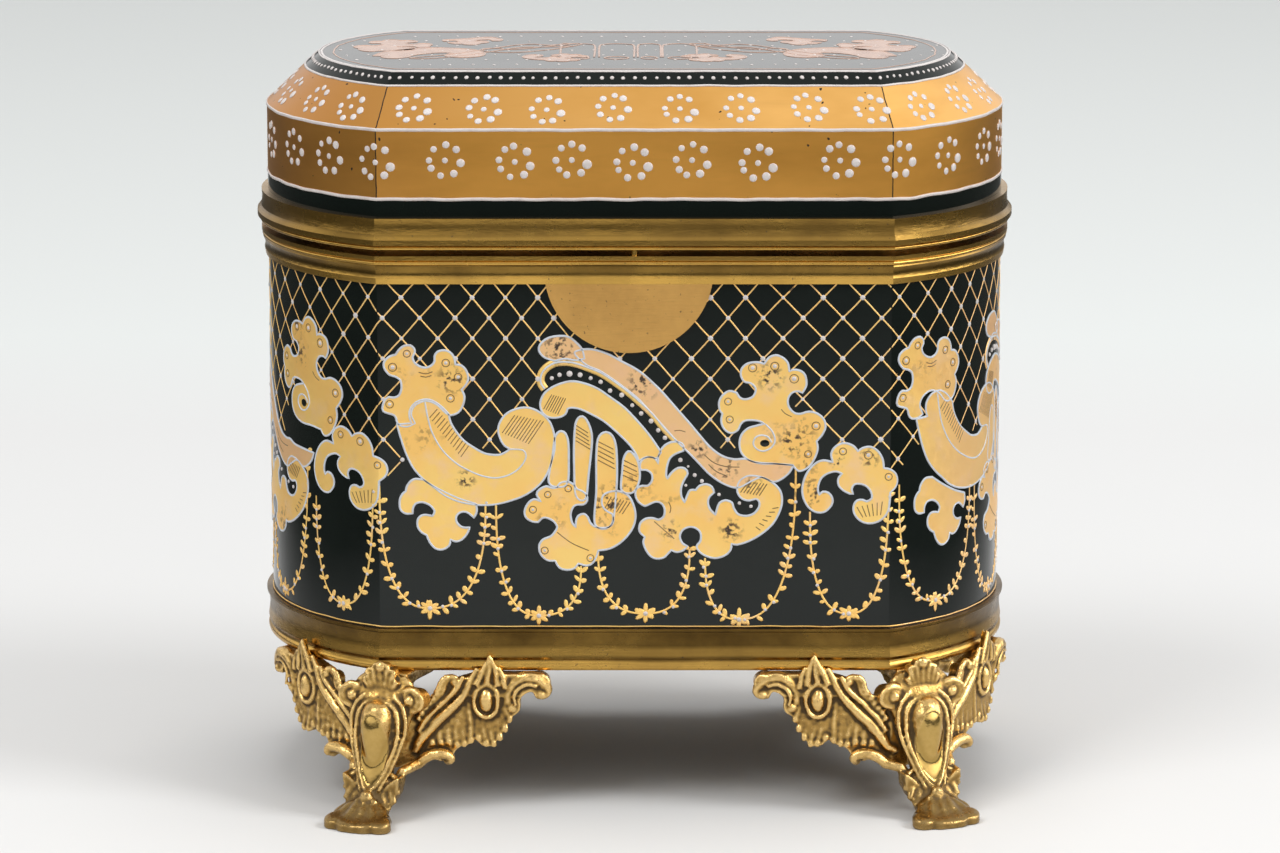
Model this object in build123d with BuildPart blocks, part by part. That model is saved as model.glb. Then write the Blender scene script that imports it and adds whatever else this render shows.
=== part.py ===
from build123d import *
import os
from math import atan2, cos, radians, sin, sqrt, tan

# A casket with a glass body and a glass lid, held in moulded bronze rims and
# standing on four cast feet. Millimetres, +Z up, front towards -Y, floor at Z = 0.

os.makedirs("parts", exist_ok=True)

# Plan of the glass: flat front and back, each end one circular bow
glass_half_length = 68.0
glass_half_depth = 36.7
bow_rise = 21.7

# Glass thicknesses
body_wall = 4.0
body_floor = 6.0
floor_fillet = 3.0
lower_edge_chamfer = 0.8
lid_wall = 4.0
lid_crown_thickness = 5.0

# Heights, stacked up from the floor
foot_height = 26.5
ledge_thickness = 1.5
floor_bedding = 2.2
body_height = 72.0
edge_bedding = 0.4
sheet = 0.6
lid_gap = 1.1
belt_height = 20.7
bevel_rise = 7.0
bevel_inset = 7.3
crown_rise = 2.1
crown_inset = 2.5

# Bronze mouldings: how tall each is, and how far its members stand out of the glass
base_band_height = 7.8
base_band_reach = 1.2
body_rim_height = 5.2
body_rim_reach = 1.25
lid_rim_height = 5.7
lid_rim_reach = 2.0
lid_rim_top_reach = 1.2
thinnest_edge = 0.55

# Inner collars of the two rims
body_collar_depth = 8.8
body_collar_upstand = 2.2
lid_collar_height = 7.1
lid_collar_bedding = 0.3
collar_clearance = 0.5

# Ledge, bedding and screws that carry the glass and the feet
ledge_width = 12.0
bedding_width = 9.5
screw_inset = 5.4
screw_radius = 1.3
screw_hole_clearance = 0.3
screw_head_radius = 2.6
screw_head_height = 1.3
head_pocket_clearance = 0.3
lug_thickness = 2.2
lug_width = 8.4
lug_length = 9.5
lug_root = 1.8

# Half-round plate, and the stud that the closed lid rests on
plate_radius = 15.2
plate_centre_rise = 2.6
plate_centre_x = -1.0
plate_thickness = 0.5
stud_radius = 0.6
stud_play = 0.05
stud_reach = 0.3

# Hinge
hinge_length = 44.0
knuckle_count = 5
knuckle_gap = 0.25
knuckle_radius = 1.6
knuckle_clearance = 0.3
pin_radius = 0.75
pin_clearance = 0.05
pin_head_radius = 1.2
pin_head_thickness = 0.6
hinge_block_height = 3.1
hinge_block_reach = 2.3
hinge_plate_height = 4.8
plate_relief = 0.15
lid_opening = 100.0
stop_play = 2.0

# Cast feet. Each stands at a distance along the outline from the corner between
# the flat and the bow, positive round the bow, as they were screwed on by hand.
foot_station = {"left": -1.8, "right": 5.5}
foot_splay = 23.5
wing_back = -0.6
wing_front = 2.2
tip_back = 1.4
tip_front = 2.5
tip_overlap = 4.5
wing_span = 29.0
wing_blank_depth = 9.0
cabochon_radius = 3.1
cabochon_start = 4.6
cabochon_end = 19.0
cabochon_head_out = 4.8
cabochon_tail_out = 7.4
palmette_radius = 2.7
palmette_rise = -1.3
palmette_lobes = 5
palmette_lobe_radius = 0.9
palmette_back = 2.4
palmette_thickness = 1.9
shoulder_radius = 2.1
shoulder_spread = 6.6
shoulder_rise = -4.4
shoulder_back = 1.2
shoulder_thickness = 3.2
ankle_leaf_foot = 1.6
ankle_leaf_spread = 5.6
ankle_leaf_low = 1.8
ankle_leaf_high = 8.8
ankle_leaf_bow = -1.3
ankle_leaf_back = 5.6
ankle_leaf_thickness = 3.2
paw_half_width = 6.6
paw_half_length = 4.6
paw_reach = 12.6
paw_height = 3.6
paw_bevel = 0.6
toe_count = 4
toe_radius = 2.1
toe_fan = radians(100.0)

# Outline of one wing of a foot, seen square on: distance from the middle of the
# foot, height above the underside of the band, and how far the stretch to the
# next point bows out (positive) or in
wing_outline = [
    (0.0, -18.0, 0.0),
    (5.0, -17.6, -0.5),
    (8.6, -16.6, 0.6),
    (11.4, -15.4, 1.1),
    (10.2, -13.2, -0.5),
    (11.2, -13.3, 0.5),
    (13.6, -13.6, 0.5),
    (15.4, -12.2, 0.0),
    (16.4, -13.6, 0.5),
    (19.0, -13.4, 0.0),
    (20.9, -10.4, 0.0),
    (21.4, -8.2, 0.9),
    (23.8, -5.9, -0.8),
    (26.0, -3.7, 0.0),
    (26.4, -4.9, 0.9),
    (29.0, -3.1, 1.3),
    (26.6, -0.3, 0.0),
    (20.6, -0.3, -0.5),
    (18.3, 3.7, -0.5),
    (15.9, -0.3, 0.0),
    (12.8, -1.2, 0.0),
    (11.6, -1.6, 0.9),
    (9.8, -3.6, 0.0),
    (7.0, -5.9, 0.0),
    (0.0, -4.6, 0.0),
]

# Sections of a foot's leg from top to bottom: height above the underside of the
# band (upper ones) or above the floor (lower ones), how far out its middle
# stands, half its width and half its thickness
upper_leg_sections = [
    (-0.4, 1.7, 4.2, 1.5),
    (-4.5, 2.9, 6.4, 2.3),
    (-11.0, 4.2, 5.0, 2.8),
]
lower_leg_sections = [
    (9.0, 6.0, 3.3, 2.5),
    (5.0, 7.8, 3.0, 2.5),
    (2.0, 9.6, 4.4, 3.2),
]

# Sizes worked out from the ones above
flat_half_length = glass_half_length - bow_rise
bow_radius = (bow_rise**2 + glass_half_depth**2) / (2 * bow_rise)
bow_centre = glass_half_length - bow_radius
seat = foot_height
ledge_top = seat + ledge_thickness
glass_bottom = ledge_top + floor_bedding
cavity_floor = glass_bottom + body_floor
glass_top = glass_bottom + body_height
body_rim_top = glass_top + edge_bedding + sheet
body_rim_bottom = body_rim_top - body_rim_height
body_collar_bottom = body_rim_top - body_collar_depth
lid_rim_bottom = body_rim_top + lid_gap
lid_collar_bottom = lid_rim_bottom + sheet
lid_glass_bottom = lid_collar_bottom + edge_bedding
belt_top = lid_glass_bottom + belt_height
bevel_top = belt_top + bevel_rise
lid_top = bevel_top + crown_rise
lid_collar_face = -(lid_wall + lid_collar_bedding)
lid_collar_inner = lid_collar_face - sheet
body_collar_face = lid_collar_inner - collar_clearance
body_collar_inner = body_collar_face - sheet
hinge_axis_out = lid_rim_reach + knuckle_radius
hinge_axis_y = glass_half_depth + hinge_axis_out
hinge_axis_z = (body_rim_top + lid_rim_bottom) / 2


def draw_plan(grow):
    """Draw the casket's plan, offset outwards by grow, from the middle of the front."""
    depth = glass_half_depth + grow
    end = glass_half_length + grow
    corner = bow_centre + sqrt((bow_radius + grow) ** 2 - depth**2)
    Line((0, -depth), (corner, -depth))
    ThreePointArc((corner, -depth), (end, 0), (corner, depth))
    Line((corner, depth), (-corner, depth))
    ThreePointArc((-corner, depth), (-end, 0), (-corner, -depth))
    Line((-corner, -depth), (0, -depth))


def plan_face(grow, height):
    """The plan as a flat face at one height."""
    with BuildSketch(Plane.XY.offset(height)) as plan:
        with BuildLine():
            draw_plan(grow)
        make_face()
    return plan.sketch


def plan_band(outer, inner, height):
    """The flat ring between two offsets of the plan, at one height."""
    with BuildSketch(Plane.XY.offset(height)) as band:
        with BuildLine():
            draw_plan(outer)
        make_face()
        with BuildLine():
            draw_plan(inner)
        make_face(mode=Mode.SUBTRACT)
    return band.sketch


def moulding_path(height):
    """The line round the glass along which a moulding's section is swept."""
    with BuildLine(Plane.XY.offset(height)) as path:
        draw_plan(0.0)
    return path.wire()


def section_plane(height):
    """Section at the middle of the front: x runs out of the glass, y runs up from height."""
    return Plane(origin=(0, -glass_half_depth, height), x_dir=(0, -1, 0), z_dir=(-1, 0, 0))


def finish(piece, name):
    """Label a finished piece and write its file."""
    piece.part.label = name
    export_step(piece.part, f"parts/{name}.step")


# Glass body: straight walls, a thick floor and a rounded inner edge round the floor
with BuildPart() as body_cavity:
    add(plan_face(-body_wall, cavity_floor))
    extrude(amount=glass_top - cavity_floor)
    fillet(body_cavity.faces().sort_by(Axis.Z)[0].edges(), radius=floor_fillet)
with BuildPart() as glass_body:
    add(plan_face(0.0, glass_bottom))
    extrude(amount=body_height)
    chamfer(glass_body.faces().sort_by(Axis.Z)[0].edges(), length=lower_edge_chamfer)
    add(body_cavity.part, mode=Mode.SUBTRACT)
finish(glass_body, "glass_body")

# Glass lid: belt, broad bevel and narrow crown bevel, hollow below with an even wall
bevel_slope = atan2(bevel_rise, bevel_inset)
inner_belt_top = belt_top - lid_wall * tan(radians(45) - bevel_slope / 2)
ceiling = lid_top - lid_crown_thickness
ceiling_inset = lid_wall + (ceiling - inner_belt_top) / tan(bevel_slope)
with BuildPart() as lid_cavity:
    add(plan_face(-lid_wall, lid_glass_bottom))
    add(plan_face(-lid_wall, inner_belt_top))
    add(plan_face(-ceiling_inset, ceiling))
    loft(ruled=True)
with BuildPart() as glass_lid:
    add(plan_face(0.0, lid_glass_bottom))
    add(plan_face(0.0, belt_top))
    add(plan_face(-bevel_inset, bevel_top))
    add(plan_face(-bevel_inset - crown_inset, lid_top))
    loft(ruled=True)
    add(lid_cavity.part, mode=Mode.SUBTRACT)
finish(glass_lid, "glass_lid")

# Rim of the body: plain lower edge, cove, groove, small bead and a lip over the glass
with BuildPart() as body_rim:
    with BuildSketch(section_plane(body_rim_bottom)):
        with BuildLine():
            lower_edge = Line((0, 0), (thinnest_edge, 0))
            lower_face = Line(lower_edge @ 1, (thinnest_edge + 0.2, 1.1))
            cove = SagittaArc(lower_face @ 1, (body_rim_reach - 0.25, body_rim_height - 2.0), 0.25)
            groove = Line(cove @ 1, (body_rim_reach - 0.4, body_rim_height - 1.7))
            bead = SagittaArc(groove @ 1, (body_rim_reach - 0.3, body_rim_height - 1.0), -0.25)
            Polyline(
                bead @ 1,
                (body_rim_reach, body_rim_height - 0.8),
                (body_rim_reach, body_rim_height),
                (body_collar_face, body_rim_height),
                (body_collar_face, body_rim_height - sheet),
                (0, body_rim_height - sheet),
                (0, 0),
            )
        make_face()
    sweep(path=moulding_path(body_rim_bottom), transition=Transition.RIGHT)
finish(body_rim, "body_rim")

# Rim of the lid: turned-in lip, thin bead, broad bead, flare and a tall hollow face
with BuildPart() as lid_rim:
    with BuildSketch(section_plane(lid_rim_bottom)):
        with BuildLine():
            under = Line((lid_collar_inner, 0), (lid_rim_reach - 0.7, 0))
            thin_bead = SagittaArc(under @ 1, (lid_rim_reach - 0.7, 0.7), -0.25)
            broad_bead = Polyline(thin_bead @ 1, (lid_rim_reach, 0.9), (lid_rim_reach, 1.9))
            flare = Line(broad_bead @ 1, (lid_rim_top_reach + 0.1, 2.8))
            face = SagittaArc(flare @ 1, (lid_rim_top_reach, lid_rim_height), 0.15)
            Polyline(
                face @ 1,
                (0, lid_rim_height),
                (0, sheet),
                (lid_collar_inner, sheet),
                under @ 0,
            )
        make_face()
    sweep(path=moulding_path(lid_rim_bottom), transition=Transition.RIGHT)
finish(lid_rim, "lid_rim")

# Inner collar of the body: stands up through the rim to guide the lid, toe on the glass
with BuildPart() as body_rim_collar:
    with BuildSketch(section_plane(body_collar_bottom)):
        with BuildLine():
            Polyline(
                (body_collar_inner, 0),
                (-body_wall, 0),
                (-body_wall, sheet),
                (body_collar_face, sheet),
                (body_collar_face, body_collar_depth + body_collar_upstand),
                (body_collar_inner, body_collar_depth + body_collar_upstand),
                close=True,
            )
        make_face()
    sweep(path=moulding_path(body_collar_bottom), transition=Transition.RIGHT)
finish(body_rim_collar, "body_rim_collar")

# Inner collar of the lid: stands on the rim's lip, its top edge turned out to the glass
with BuildPart() as lid_rim_collar:
    with BuildSketch(section_plane(lid_collar_bottom)):
        with BuildLine():
            Polyline(
                (lid_collar_inner, 0),
                (lid_collar_face, 0),
                (lid_collar_face, lid_collar_height - sheet),
                (-lid_wall, lid_collar_height - sheet),
                (-lid_wall, lid_collar_height),
                (lid_collar_inner, lid_collar_height),
                close=True,
            )
        make_face()
    sweep(path=moulding_path(lid_collar_bottom), transition=Transition.RIGHT)
finish(lid_rim_collar, "lid_rim_collar")

# Plaster that beds the body's rim and collar on the glass edge
plaster_top = glass_top + edge_bedding - body_collar_bottom
plaster_step = glass_top - body_collar_bottom
with BuildPart() as body_rim_plaster:
    with BuildSketch(section_plane(body_collar_bottom)):
        with BuildLine():
            Polyline(
                (body_collar_face, sheet),
                (-body_wall, sheet),
                (-body_wall, plaster_step),
                (0, plaster_step),
                (0, plaster_top),
                (body_collar_face, plaster_top),
                close=True,
            )
        make_face()
    sweep(path=moulding_path(body_collar_bottom), transition=Transition.RIGHT)
finish(body_rim_plaster, "body_rim_plaster")

# Plaster that beds the lid's rim and collar on the glass edge
with BuildPart() as lid_rim_plaster:
    with BuildSketch(section_plane(lid_collar_bottom)):
        with BuildLine():
            Polyline(
                (lid_collar_face, 0),
                (0, 0),
                (0, edge_bedding),
                (-lid_wall, edge_bedding),
                (-lid_wall, lid_collar_height - sheet),
                (lid_collar_face, lid_collar_height - sheet),
                close=True,
            )
        make_face()
    sweep(path=moulding_path(lid_collar_bottom), transition=Transition.RIGHT)
finish(lid_rim_plaster, "lid_rim_plaster")

# Half-round plate under the front of the body's rim
with BuildPart() as front_plate:
    with BuildSketch(Plane.XZ.offset(glass_half_depth)):
        with Locations((plate_centre_x, body_rim_bottom + plate_centre_rise)):
            Circle(plate_radius)
        with Locations((plate_centre_x, body_rim_bottom + plate_radius)):
            Rectangle(2 * plate_radius, 2 * plate_radius, mode=Mode.SUBTRACT)
    extrude(amount=plate_thickness)
finish(front_plate, "front_plate")

# Stud on the body's rim that holds the closed lid clear of it
with BuildPart() as rest_stud:
    with BuildSketch(Plane.XY.offset(body_rim_top)):
        with Locations((0, -glass_half_depth - stud_reach)):
            Circle(stud_radius)
    extrude(amount=lid_gap - stud_play)
finish(rest_stud, "rest_stud")

# Base band: lower bead, groove, flare, cove and a thin top lip
with BuildPart() as base_band:
    with BuildSketch(section_plane(seat)):
        with BuildLine():
            under = Line((0, 0), (thinnest_edge, 0))
            lower_bead = SagittaArc(under @ 1, (thinnest_edge + 0.1, 1.5), -0.35)
            groove = Polyline(lower_bead @ 1, (thinnest_edge, 1.9), (thinnest_edge + 0.35, 2.5))
            flare = Line(groove @ 1, (thinnest_edge + 0.2, 3.6))
            cove = SagittaArc(flare @ 1, (base_band_reach - 0.2, base_band_height - 0.6), 0.25)
            Polyline(
                cove @ 1,
                (base_band_reach, base_band_height - 0.4),
                (base_band_reach, base_band_height),
                (0, base_band_height),
                (0, 0),
            )
        make_face()
    sweep(path=moulding_path(seat), transition=Transition.RIGHT)
finish(base_band, "base_band")


def station_point(along):
    """Point of the glass outline at a distance from the front right corner, positive round the bow."""
    if along <= 0:
        return Vector(flat_half_length + along, -glass_half_depth, 0)
    angle = atan2(-glass_half_depth, flat_half_length - bow_centre) + along / bow_radius
    return Vector(bow_centre + bow_radius * cos(angle), bow_radius * sin(angle), 0)


def foot_plane(side, height):
    """Level plane at a foot: x runs towards its outer wing, y inwards under the casket."""
    foot = station_point(foot_station[side])
    across = Vector(cos(radians(foot_splay)), sin(radians(foot_splay)), 0)
    return Plane(origin=foot + Vector(0, 0, height), x_dir=across, z_dir=(0, 0, 1))


def facing_plane(side, out):
    """Upright plane facing a foot, out from the glass: y is the height above the band's underside."""
    level = foot_plane(side, seat)
    return Plane(origin=level.from_local_coords(Vector(0, -out, 0)), x_dir=level.x_dir, z_dir=-level.y_dir)


def screw_places(height):
    """Places of the four screws at one height, one behind the leg of each foot."""
    places = []
    for side, across in (("left", -1), ("right", 1)):
        screw = foot_plane(side, height).from_local_coords(Vector(0, screw_inset, 0))
        places += [Vector(across * screw.X, screw.Y, height), Vector(across * screw.X, -screw.Y, height)]
    return places


# Ledge inside the band: the glass is bedded on it and the feet are screwed to it
with BuildPart() as base_ledge:
    add(plan_band(0.0, -ledge_width, seat))
    extrude(amount=ledge_thickness)
    with Locations(*screw_places(seat)):
        Cylinder(
            screw_radius + screw_hole_clearance,
            ledge_thickness,
            align=(Align.CENTER, Align.CENTER, Align.MIN),
            mode=Mode.SUBTRACT,
        )
finish(base_ledge, "base_ledge")

# Plaster between ledge and glass, with pockets over the screw heads
with BuildPart() as base_plaster:
    add(plan_band(0.0, -bedding_width, ledge_top))
    extrude(amount=floor_bedding)
    with Locations(*screw_places(ledge_top)):
        Cylinder(
            screw_head_radius + head_pocket_clearance,
            screw_head_height + head_pocket_clearance,
            align=(Align.CENTER, Align.CENTER, Align.MIN),
            mode=Mode.SUBTRACT,
        )
finish(base_plaster, "base_plaster")

# Four round-headed screws through the ledge into the feet
with BuildPart() as foot_screws:
    with Locations(*screw_places(seat - lug_thickness)):
        Cylinder(screw_radius, lug_thickness + ledge_thickness, align=(Align.CENTER, Align.CENTER, Align.MIN))
    with Locations(*screw_places(ledge_top)):
        Cylinder(screw_head_radius, screw_head_height, align=(Align.CENTER, Align.CENTER, Align.MIN))
finish(foot_screws, "foot_screws")


def drop(blunt, pointed, radius):
    """A drop-shaped boss revolved round the line from its blunt end to its pointed end."""
    length = (pointed - blunt).length
    along = Plane(origin=blunt, x_dir=pointed - blunt, z_dir=(pointed - blunt).cross(Vector(0.3, 0.2, 1)))
    with BuildPart() as boss:
        with BuildSketch(along):
            with BuildLine():
                Bezier((0, 0), (0, 1.45 * radius), (0.5 * length, 1.2 * radius), (length, 0))
                Line((length, 0), (0, 0))
            make_face()
        revolve(axis=Axis(along.origin, along.x_dir))
    return boss.part


def wing_blank(plane):
    """The outline of a wing, cut right through as thick as the casting's blank."""
    corners = wing_outline + wing_outline[:1]
    with BuildPart() as blank:
        with BuildSketch(plane):
            with BuildLine():
                for (start, low, bow), (end, high, _) in zip(corners, corners[1:]):
                    if bow:
                        SagittaArc((start, low), (end, high), -bow)
                    else:
                        Line((start, low), (end, high))
            make_face()
        extrude(amount=wing_blank_depth, both=True)
    return blank.part


def cast_foot(side):
    """One foot, standing at the front right: two pierced wings, leg, cabochon, palmette and paw."""
    near = station_point(foot_station[side])
    far = station_point(foot_station[side] + wing_span)
    lift = Vector(0, 0, seat)
    outer = Plane(origin=near + lift, x_dir=far - near, z_dir=(far - near).cross(Vector(0, 0, 1)))
    inner = Plane(origin=near + lift, x_dir=(-1, 0, 0), z_dir=(0, 1, 0))
    level = foot_plane(side, 0)

    def place(across, out, height):
        """A point of the foot: across it, out from the glass, and above the floor."""
        return level.from_local_coords(Vector(across, -out, height))

    with BuildPart() as wings:
        add(plan_band(wing_front, wing_back, 0))
        extrude(amount=seat)
        add(plan_band(tip_front, tip_back, seat - tip_overlap))
        extrude(amount=2 * tip_overlap)
        add(wing_blank(outer) + wing_blank(inner), mode=Mode.INTERSECT)

    with BuildPart() as leg:
        for rise, out, half_width, half_thickness in upper_leg_sections:
            with BuildSketch(foot_plane(side, seat + rise)):
                with Locations((0, -out)):
                    Ellipse(half_width, half_thickness)
        for height, out, half_width, half_thickness in lower_leg_sections:
            with BuildSketch(foot_plane(side, height)):
                with Locations((0, -out)):
                    Ellipse(half_width, half_thickness)
        loft()

    with BuildPart() as paw:
        with BuildSketch(level):
            with Locations((0, -paw_reach)):
                Ellipse(paw_half_width - toe_radius, paw_half_length)
            for toe in range(toe_count):
                turn = toe_fan * (toe / (toe_count - 1) - 0.5)
                across = (paw_half_width - toe_radius) * sin(turn) / sin(toe_fan / 2)
                forward = (paw_half_length - toe_radius) * cos(turn)
                with Locations((across, -paw_reach - forward)):
                    Circle(toe_radius)
        extrude(amount=paw_height)
        chamfer(paw.faces().sort_by(Axis.Z)[-1].edges(), length=paw_bevel)

    with BuildPart() as foot:
        add(wings.part)
        add(leg.part)
        add(paw.part)
        # Lug behind the leg, under the ledge, tapped for the screw
        with BuildSketch(foot_plane(side, seat - lug_thickness)):
            with Locations((0, (lug_length - lug_root) / 2)):
                Rectangle(lug_width, lug_length + lug_root)
            with Locations((0, screw_inset)):
                Circle(screw_radius, mode=Mode.SUBTRACT)
        extrude(amount=lug_thickness)
        # Palmette that laps the band, with its scalloped edge
        with BuildSketch(facing_plane(side, palmette_back)):
            with Locations((0, palmette_rise)):
                Circle(palmette_radius)
                with PolarLocations(palmette_radius, palmette_lobes, angular_range=180):
                    Circle(palmette_lobe_radius)
        extrude(amount=palmette_thickness)
        # Shoulder volutes beside the cabochon
        with BuildSketch(facing_plane(side, shoulder_back)):
            with Locations((-shoulder_spread, shoulder_rise), (shoulder_spread, shoulder_rise)):
                Circle(shoulder_radius)
        extrude(amount=shoulder_thickness)
        # Cabochon on the front of the leg
        cabochon_head = place(0, cabochon_head_out, seat - cabochon_start)
        cabochon_tail = place(0, cabochon_tail_out, seat - cabochon_end)
        add(drop(cabochon_head, cabochon_tail, cabochon_radius))
        # Leaf on each side of the ankle
        with BuildSketch(facing_plane(side, ankle_leaf_back)):
            for hand in (-1, 1):
                with BuildLine():
                    foot_end = (hand * ankle_leaf_foot, ankle_leaf_low - seat)
                    free_end = (hand * ankle_leaf_spread, ankle_leaf_high - seat)
                    SagittaArc(foot_end, free_end, ankle_leaf_bow)
                    SagittaArc(free_end, foot_end, ankle_leaf_bow)
                make_face()
        extrude(amount=ankle_leaf_thickness)
    return foot.part


for side in ("left", "right"):
    casting = cast_foot(side)
    for end in ("front", "back"):
        with BuildPart() as foot:
            add(casting)
            if side == "left":
                mirror(about=Plane.YZ, mode=Mode.REPLACE)
            if end == "back":
                mirror(about=Plane.XZ, mode=Mode.REPLACE)
        finish(foot, f"foot_{end}_{side}")


# Hinge. Sections are drawn about the pin: x runs out behind the casket, y up.
# Stop faces of the two leaves lie on lines through the pin, a little further
# apart than the opening, and meet when the lid is pushed right back.
stop_line = radians((lid_opening + stop_play) / 2)
block_start = knuckle_radius + knuckle_clearance
leaf_front = -knuckle_radius
case_leaf_front = body_rim_reach - hinge_axis_out
plate_back = -(knuckle_radius + plate_relief)
knuckle_pitch = hinge_length / knuckle_count
knuckle_length = knuckle_pitch - knuckle_gap


def hinge_plane(x):
    """Section across the hinge at one x."""
    return Plane(origin=(x, hinge_axis_y, hinge_axis_z), x_dir=(0, 1, 0), z_dir=(1, 0, 0))


def draw_block(up, front):
    """Draw a leaf's block in the open sketch: a bar beside the barrel, sloped off to its stop face."""
    Polygon(
        (front, up * block_start),
        (block_start / tan(stop_line), up * block_start),
        (hinge_block_reach, up * hinge_block_reach * tan(stop_line)),
        (hinge_block_reach, up * (block_start + hinge_block_height)),
        (front, up * (block_start + hinge_block_height)),
        align=None,
    )


def draw_knuckle(up, front):
    """Draw a knuckle in the open sketch, with the web that joins it to its leaf's block."""
    Circle(knuckle_radius)
    Polygon(
        (0, 0),
        (front, 0),
        (front, up * block_start),
        (block_start / tan(stop_line), up * block_start),
        align=None,
    )
    Circle(pin_radius + pin_clearance, mode=Mode.SUBTRACT)


def knuckle_starts(first):
    """Where every second knuckle starts, from the first one given."""
    left = -hinge_length / 2 + knuckle_gap / 2
    return [left + index * knuckle_pitch for index in range(first, knuckle_count, 2)]


with BuildPart() as hinge_leaf_case:
    with BuildSketch(hinge_plane(-hinge_length / 2)):
        draw_block(-1, plate_back)
        Polygon(
            (case_leaf_front, body_rim_top - hinge_axis_z),
            (plate_back, body_rim_top - hinge_axis_z),
            (plate_back, body_rim_top - hinge_plate_height - hinge_axis_z),
            (case_leaf_front, body_rim_top - hinge_plate_height - hinge_axis_z),
            align=None,
        )
    extrude(amount=hinge_length)
    for start in knuckle_starts(0):
        with BuildSketch(hinge_plane(start)):
            draw_knuckle(-1, plate_back)
        extrude(amount=knuckle_length)
finish(hinge_leaf_case, "hinge_leaf_case")

with BuildPart() as hinge_leaf_lid:
    with BuildSketch(hinge_plane(-hinge_length / 2)):
        draw_block(1, leaf_front)
    extrude(amount=hinge_length)
    for start in knuckle_starts(1):
        with BuildSketch(hinge_plane(start)):
            draw_knuckle(1, leaf_front)
        extrude(amount=knuckle_length)
finish(hinge_leaf_lid, "hinge_leaf_lid")

# Pin with a peened head at each end of the barrel
pin_half = hinge_length / 2 - knuckle_gap / 2
with BuildPart() as hinge_pin:
    with BuildSketch(hinge_plane(-pin_half)):
        Circle(pin_radius)
    extrude(amount=2 * pin_half)
    for start in (-pin_half - pin_head_thickness, pin_half):
        with BuildSketch(hinge_plane(start)):
            Circle(pin_head_radius)
        extrude(amount=pin_head_thickness)
finish(hinge_pin, "hinge_pin")
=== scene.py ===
"""Looks of a glass casket in gilt bronze mounts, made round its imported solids."""
import random
from math import acos, atan2, cos, hypot, pi, radians, sin, sqrt

import bmesh
import bpy
from bpy.props import FloatProperty, FloatVectorProperty, PointerProperty
from mathutils import Matrix, Vector, noise


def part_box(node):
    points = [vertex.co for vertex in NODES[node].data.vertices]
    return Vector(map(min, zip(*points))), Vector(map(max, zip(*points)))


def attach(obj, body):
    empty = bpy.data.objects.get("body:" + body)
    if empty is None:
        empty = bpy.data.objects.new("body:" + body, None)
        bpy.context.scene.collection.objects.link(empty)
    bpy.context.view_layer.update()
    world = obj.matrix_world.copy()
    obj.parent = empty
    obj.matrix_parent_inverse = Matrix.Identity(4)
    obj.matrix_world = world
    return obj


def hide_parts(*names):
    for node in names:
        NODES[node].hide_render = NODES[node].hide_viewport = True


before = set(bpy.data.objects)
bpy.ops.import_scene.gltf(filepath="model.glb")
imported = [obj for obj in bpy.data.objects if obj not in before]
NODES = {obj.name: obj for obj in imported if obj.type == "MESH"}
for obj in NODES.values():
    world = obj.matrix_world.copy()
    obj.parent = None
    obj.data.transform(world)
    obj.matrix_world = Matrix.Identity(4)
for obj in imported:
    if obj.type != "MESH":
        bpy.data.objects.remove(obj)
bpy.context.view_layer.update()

bl_info = {
    "name": "Glass casket",
    "version": (1, 0, 0),
    "blender": (4, 5, 0),
    "location": "3D View > Sidebar > Casket",
    "description": "Enamel, gilding, cast feet, mounts and a plain stage for a glass casket",
    "category": "Object",
}

MM = 0.001

# Shape of the glass, in millimetres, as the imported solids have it
_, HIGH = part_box("glass_body")
_, LID_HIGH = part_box("glass_lid")
HALF_LENGTH = HIGH.x / MM
HALF_DEPTH = HIGH.y / MM
FLAT_HALF_LENGTH = 46.3
BOW_RISE = HALF_LENGTH - FLAT_HALF_LENGTH
BOW_RADIUS = (BOW_RISE**2 + HALF_DEPTH**2) / (2 * BOW_RISE)
BOW_CENTRE = HALF_LENGTH - BOW_RADIUS
BOW_ANGLE = atan2(HALF_DEPTH, FLAT_HALF_LENGTH - BOW_CENTRE)
QUARTER = FLAT_HALF_LENGTH + BOW_RADIUS * BOW_ANGLE
LAP = 4 * QUARTER
LID_TOP = LID_HIGH.z / MM
BEVEL_RISE = 7.0
BEVEL_INSET = 7.3
CROWN_RISE = 2.1
CROWN_INSET = 2.5
BELT_RISE = 12.65
CROWN_FOOT = LID_TOP - CROWN_RISE
BELT_TOP = CROWN_FOOT - BEVEL_RISE
BELT_FOOT = BELT_TOP - BELT_RISE


# ---------------------------------------------------------------- sizes and colours

def length(name, description, default):
    """A length property in metres, given in millimetres."""
    return FloatProperty(name=name, description=description, default=default * MM, unit="LENGTH",
                         precision=5)


def colour(name, description, default):
    """A colour property."""
    return FloatVectorProperty(name=name, description=description, default=default, subtype="COLOR", size=3,
                               min=0.0, max=1.0)


class CasketSizes(bpy.types.PropertyGroup):
    """Sizes of the casket's decoration."""

    gilding: length("Gilding", "How far fired gilding stands out of the glass", 0.07)
    enamel_line: length("Enamel line", "Width of the white lines round the gilt motifs", 0.46)
    border_line: length("Border line", "Width of the white lines round the lid", 0.62)
    etched_line: length("Etched line", "Width of the hatching scratched through the gilding", 0.16)
    lattice_line: length("Lattice line", "Width of the gilt lattice lines", 0.28)
    lattice_dot: length("Lattice dot", "Diameter of the dots where lattice lines cross", 0.9)
    rosette_dot: length("Rosette dot", "Diameter of a dot of a rosette", 1.48)
    crown_dot: length("Crown dot", "Diameter of the dots round the lid's top", 0.8)
    casting_grain: length("Casting grain", "Finest detail of the cast feet", 0.24)


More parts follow.
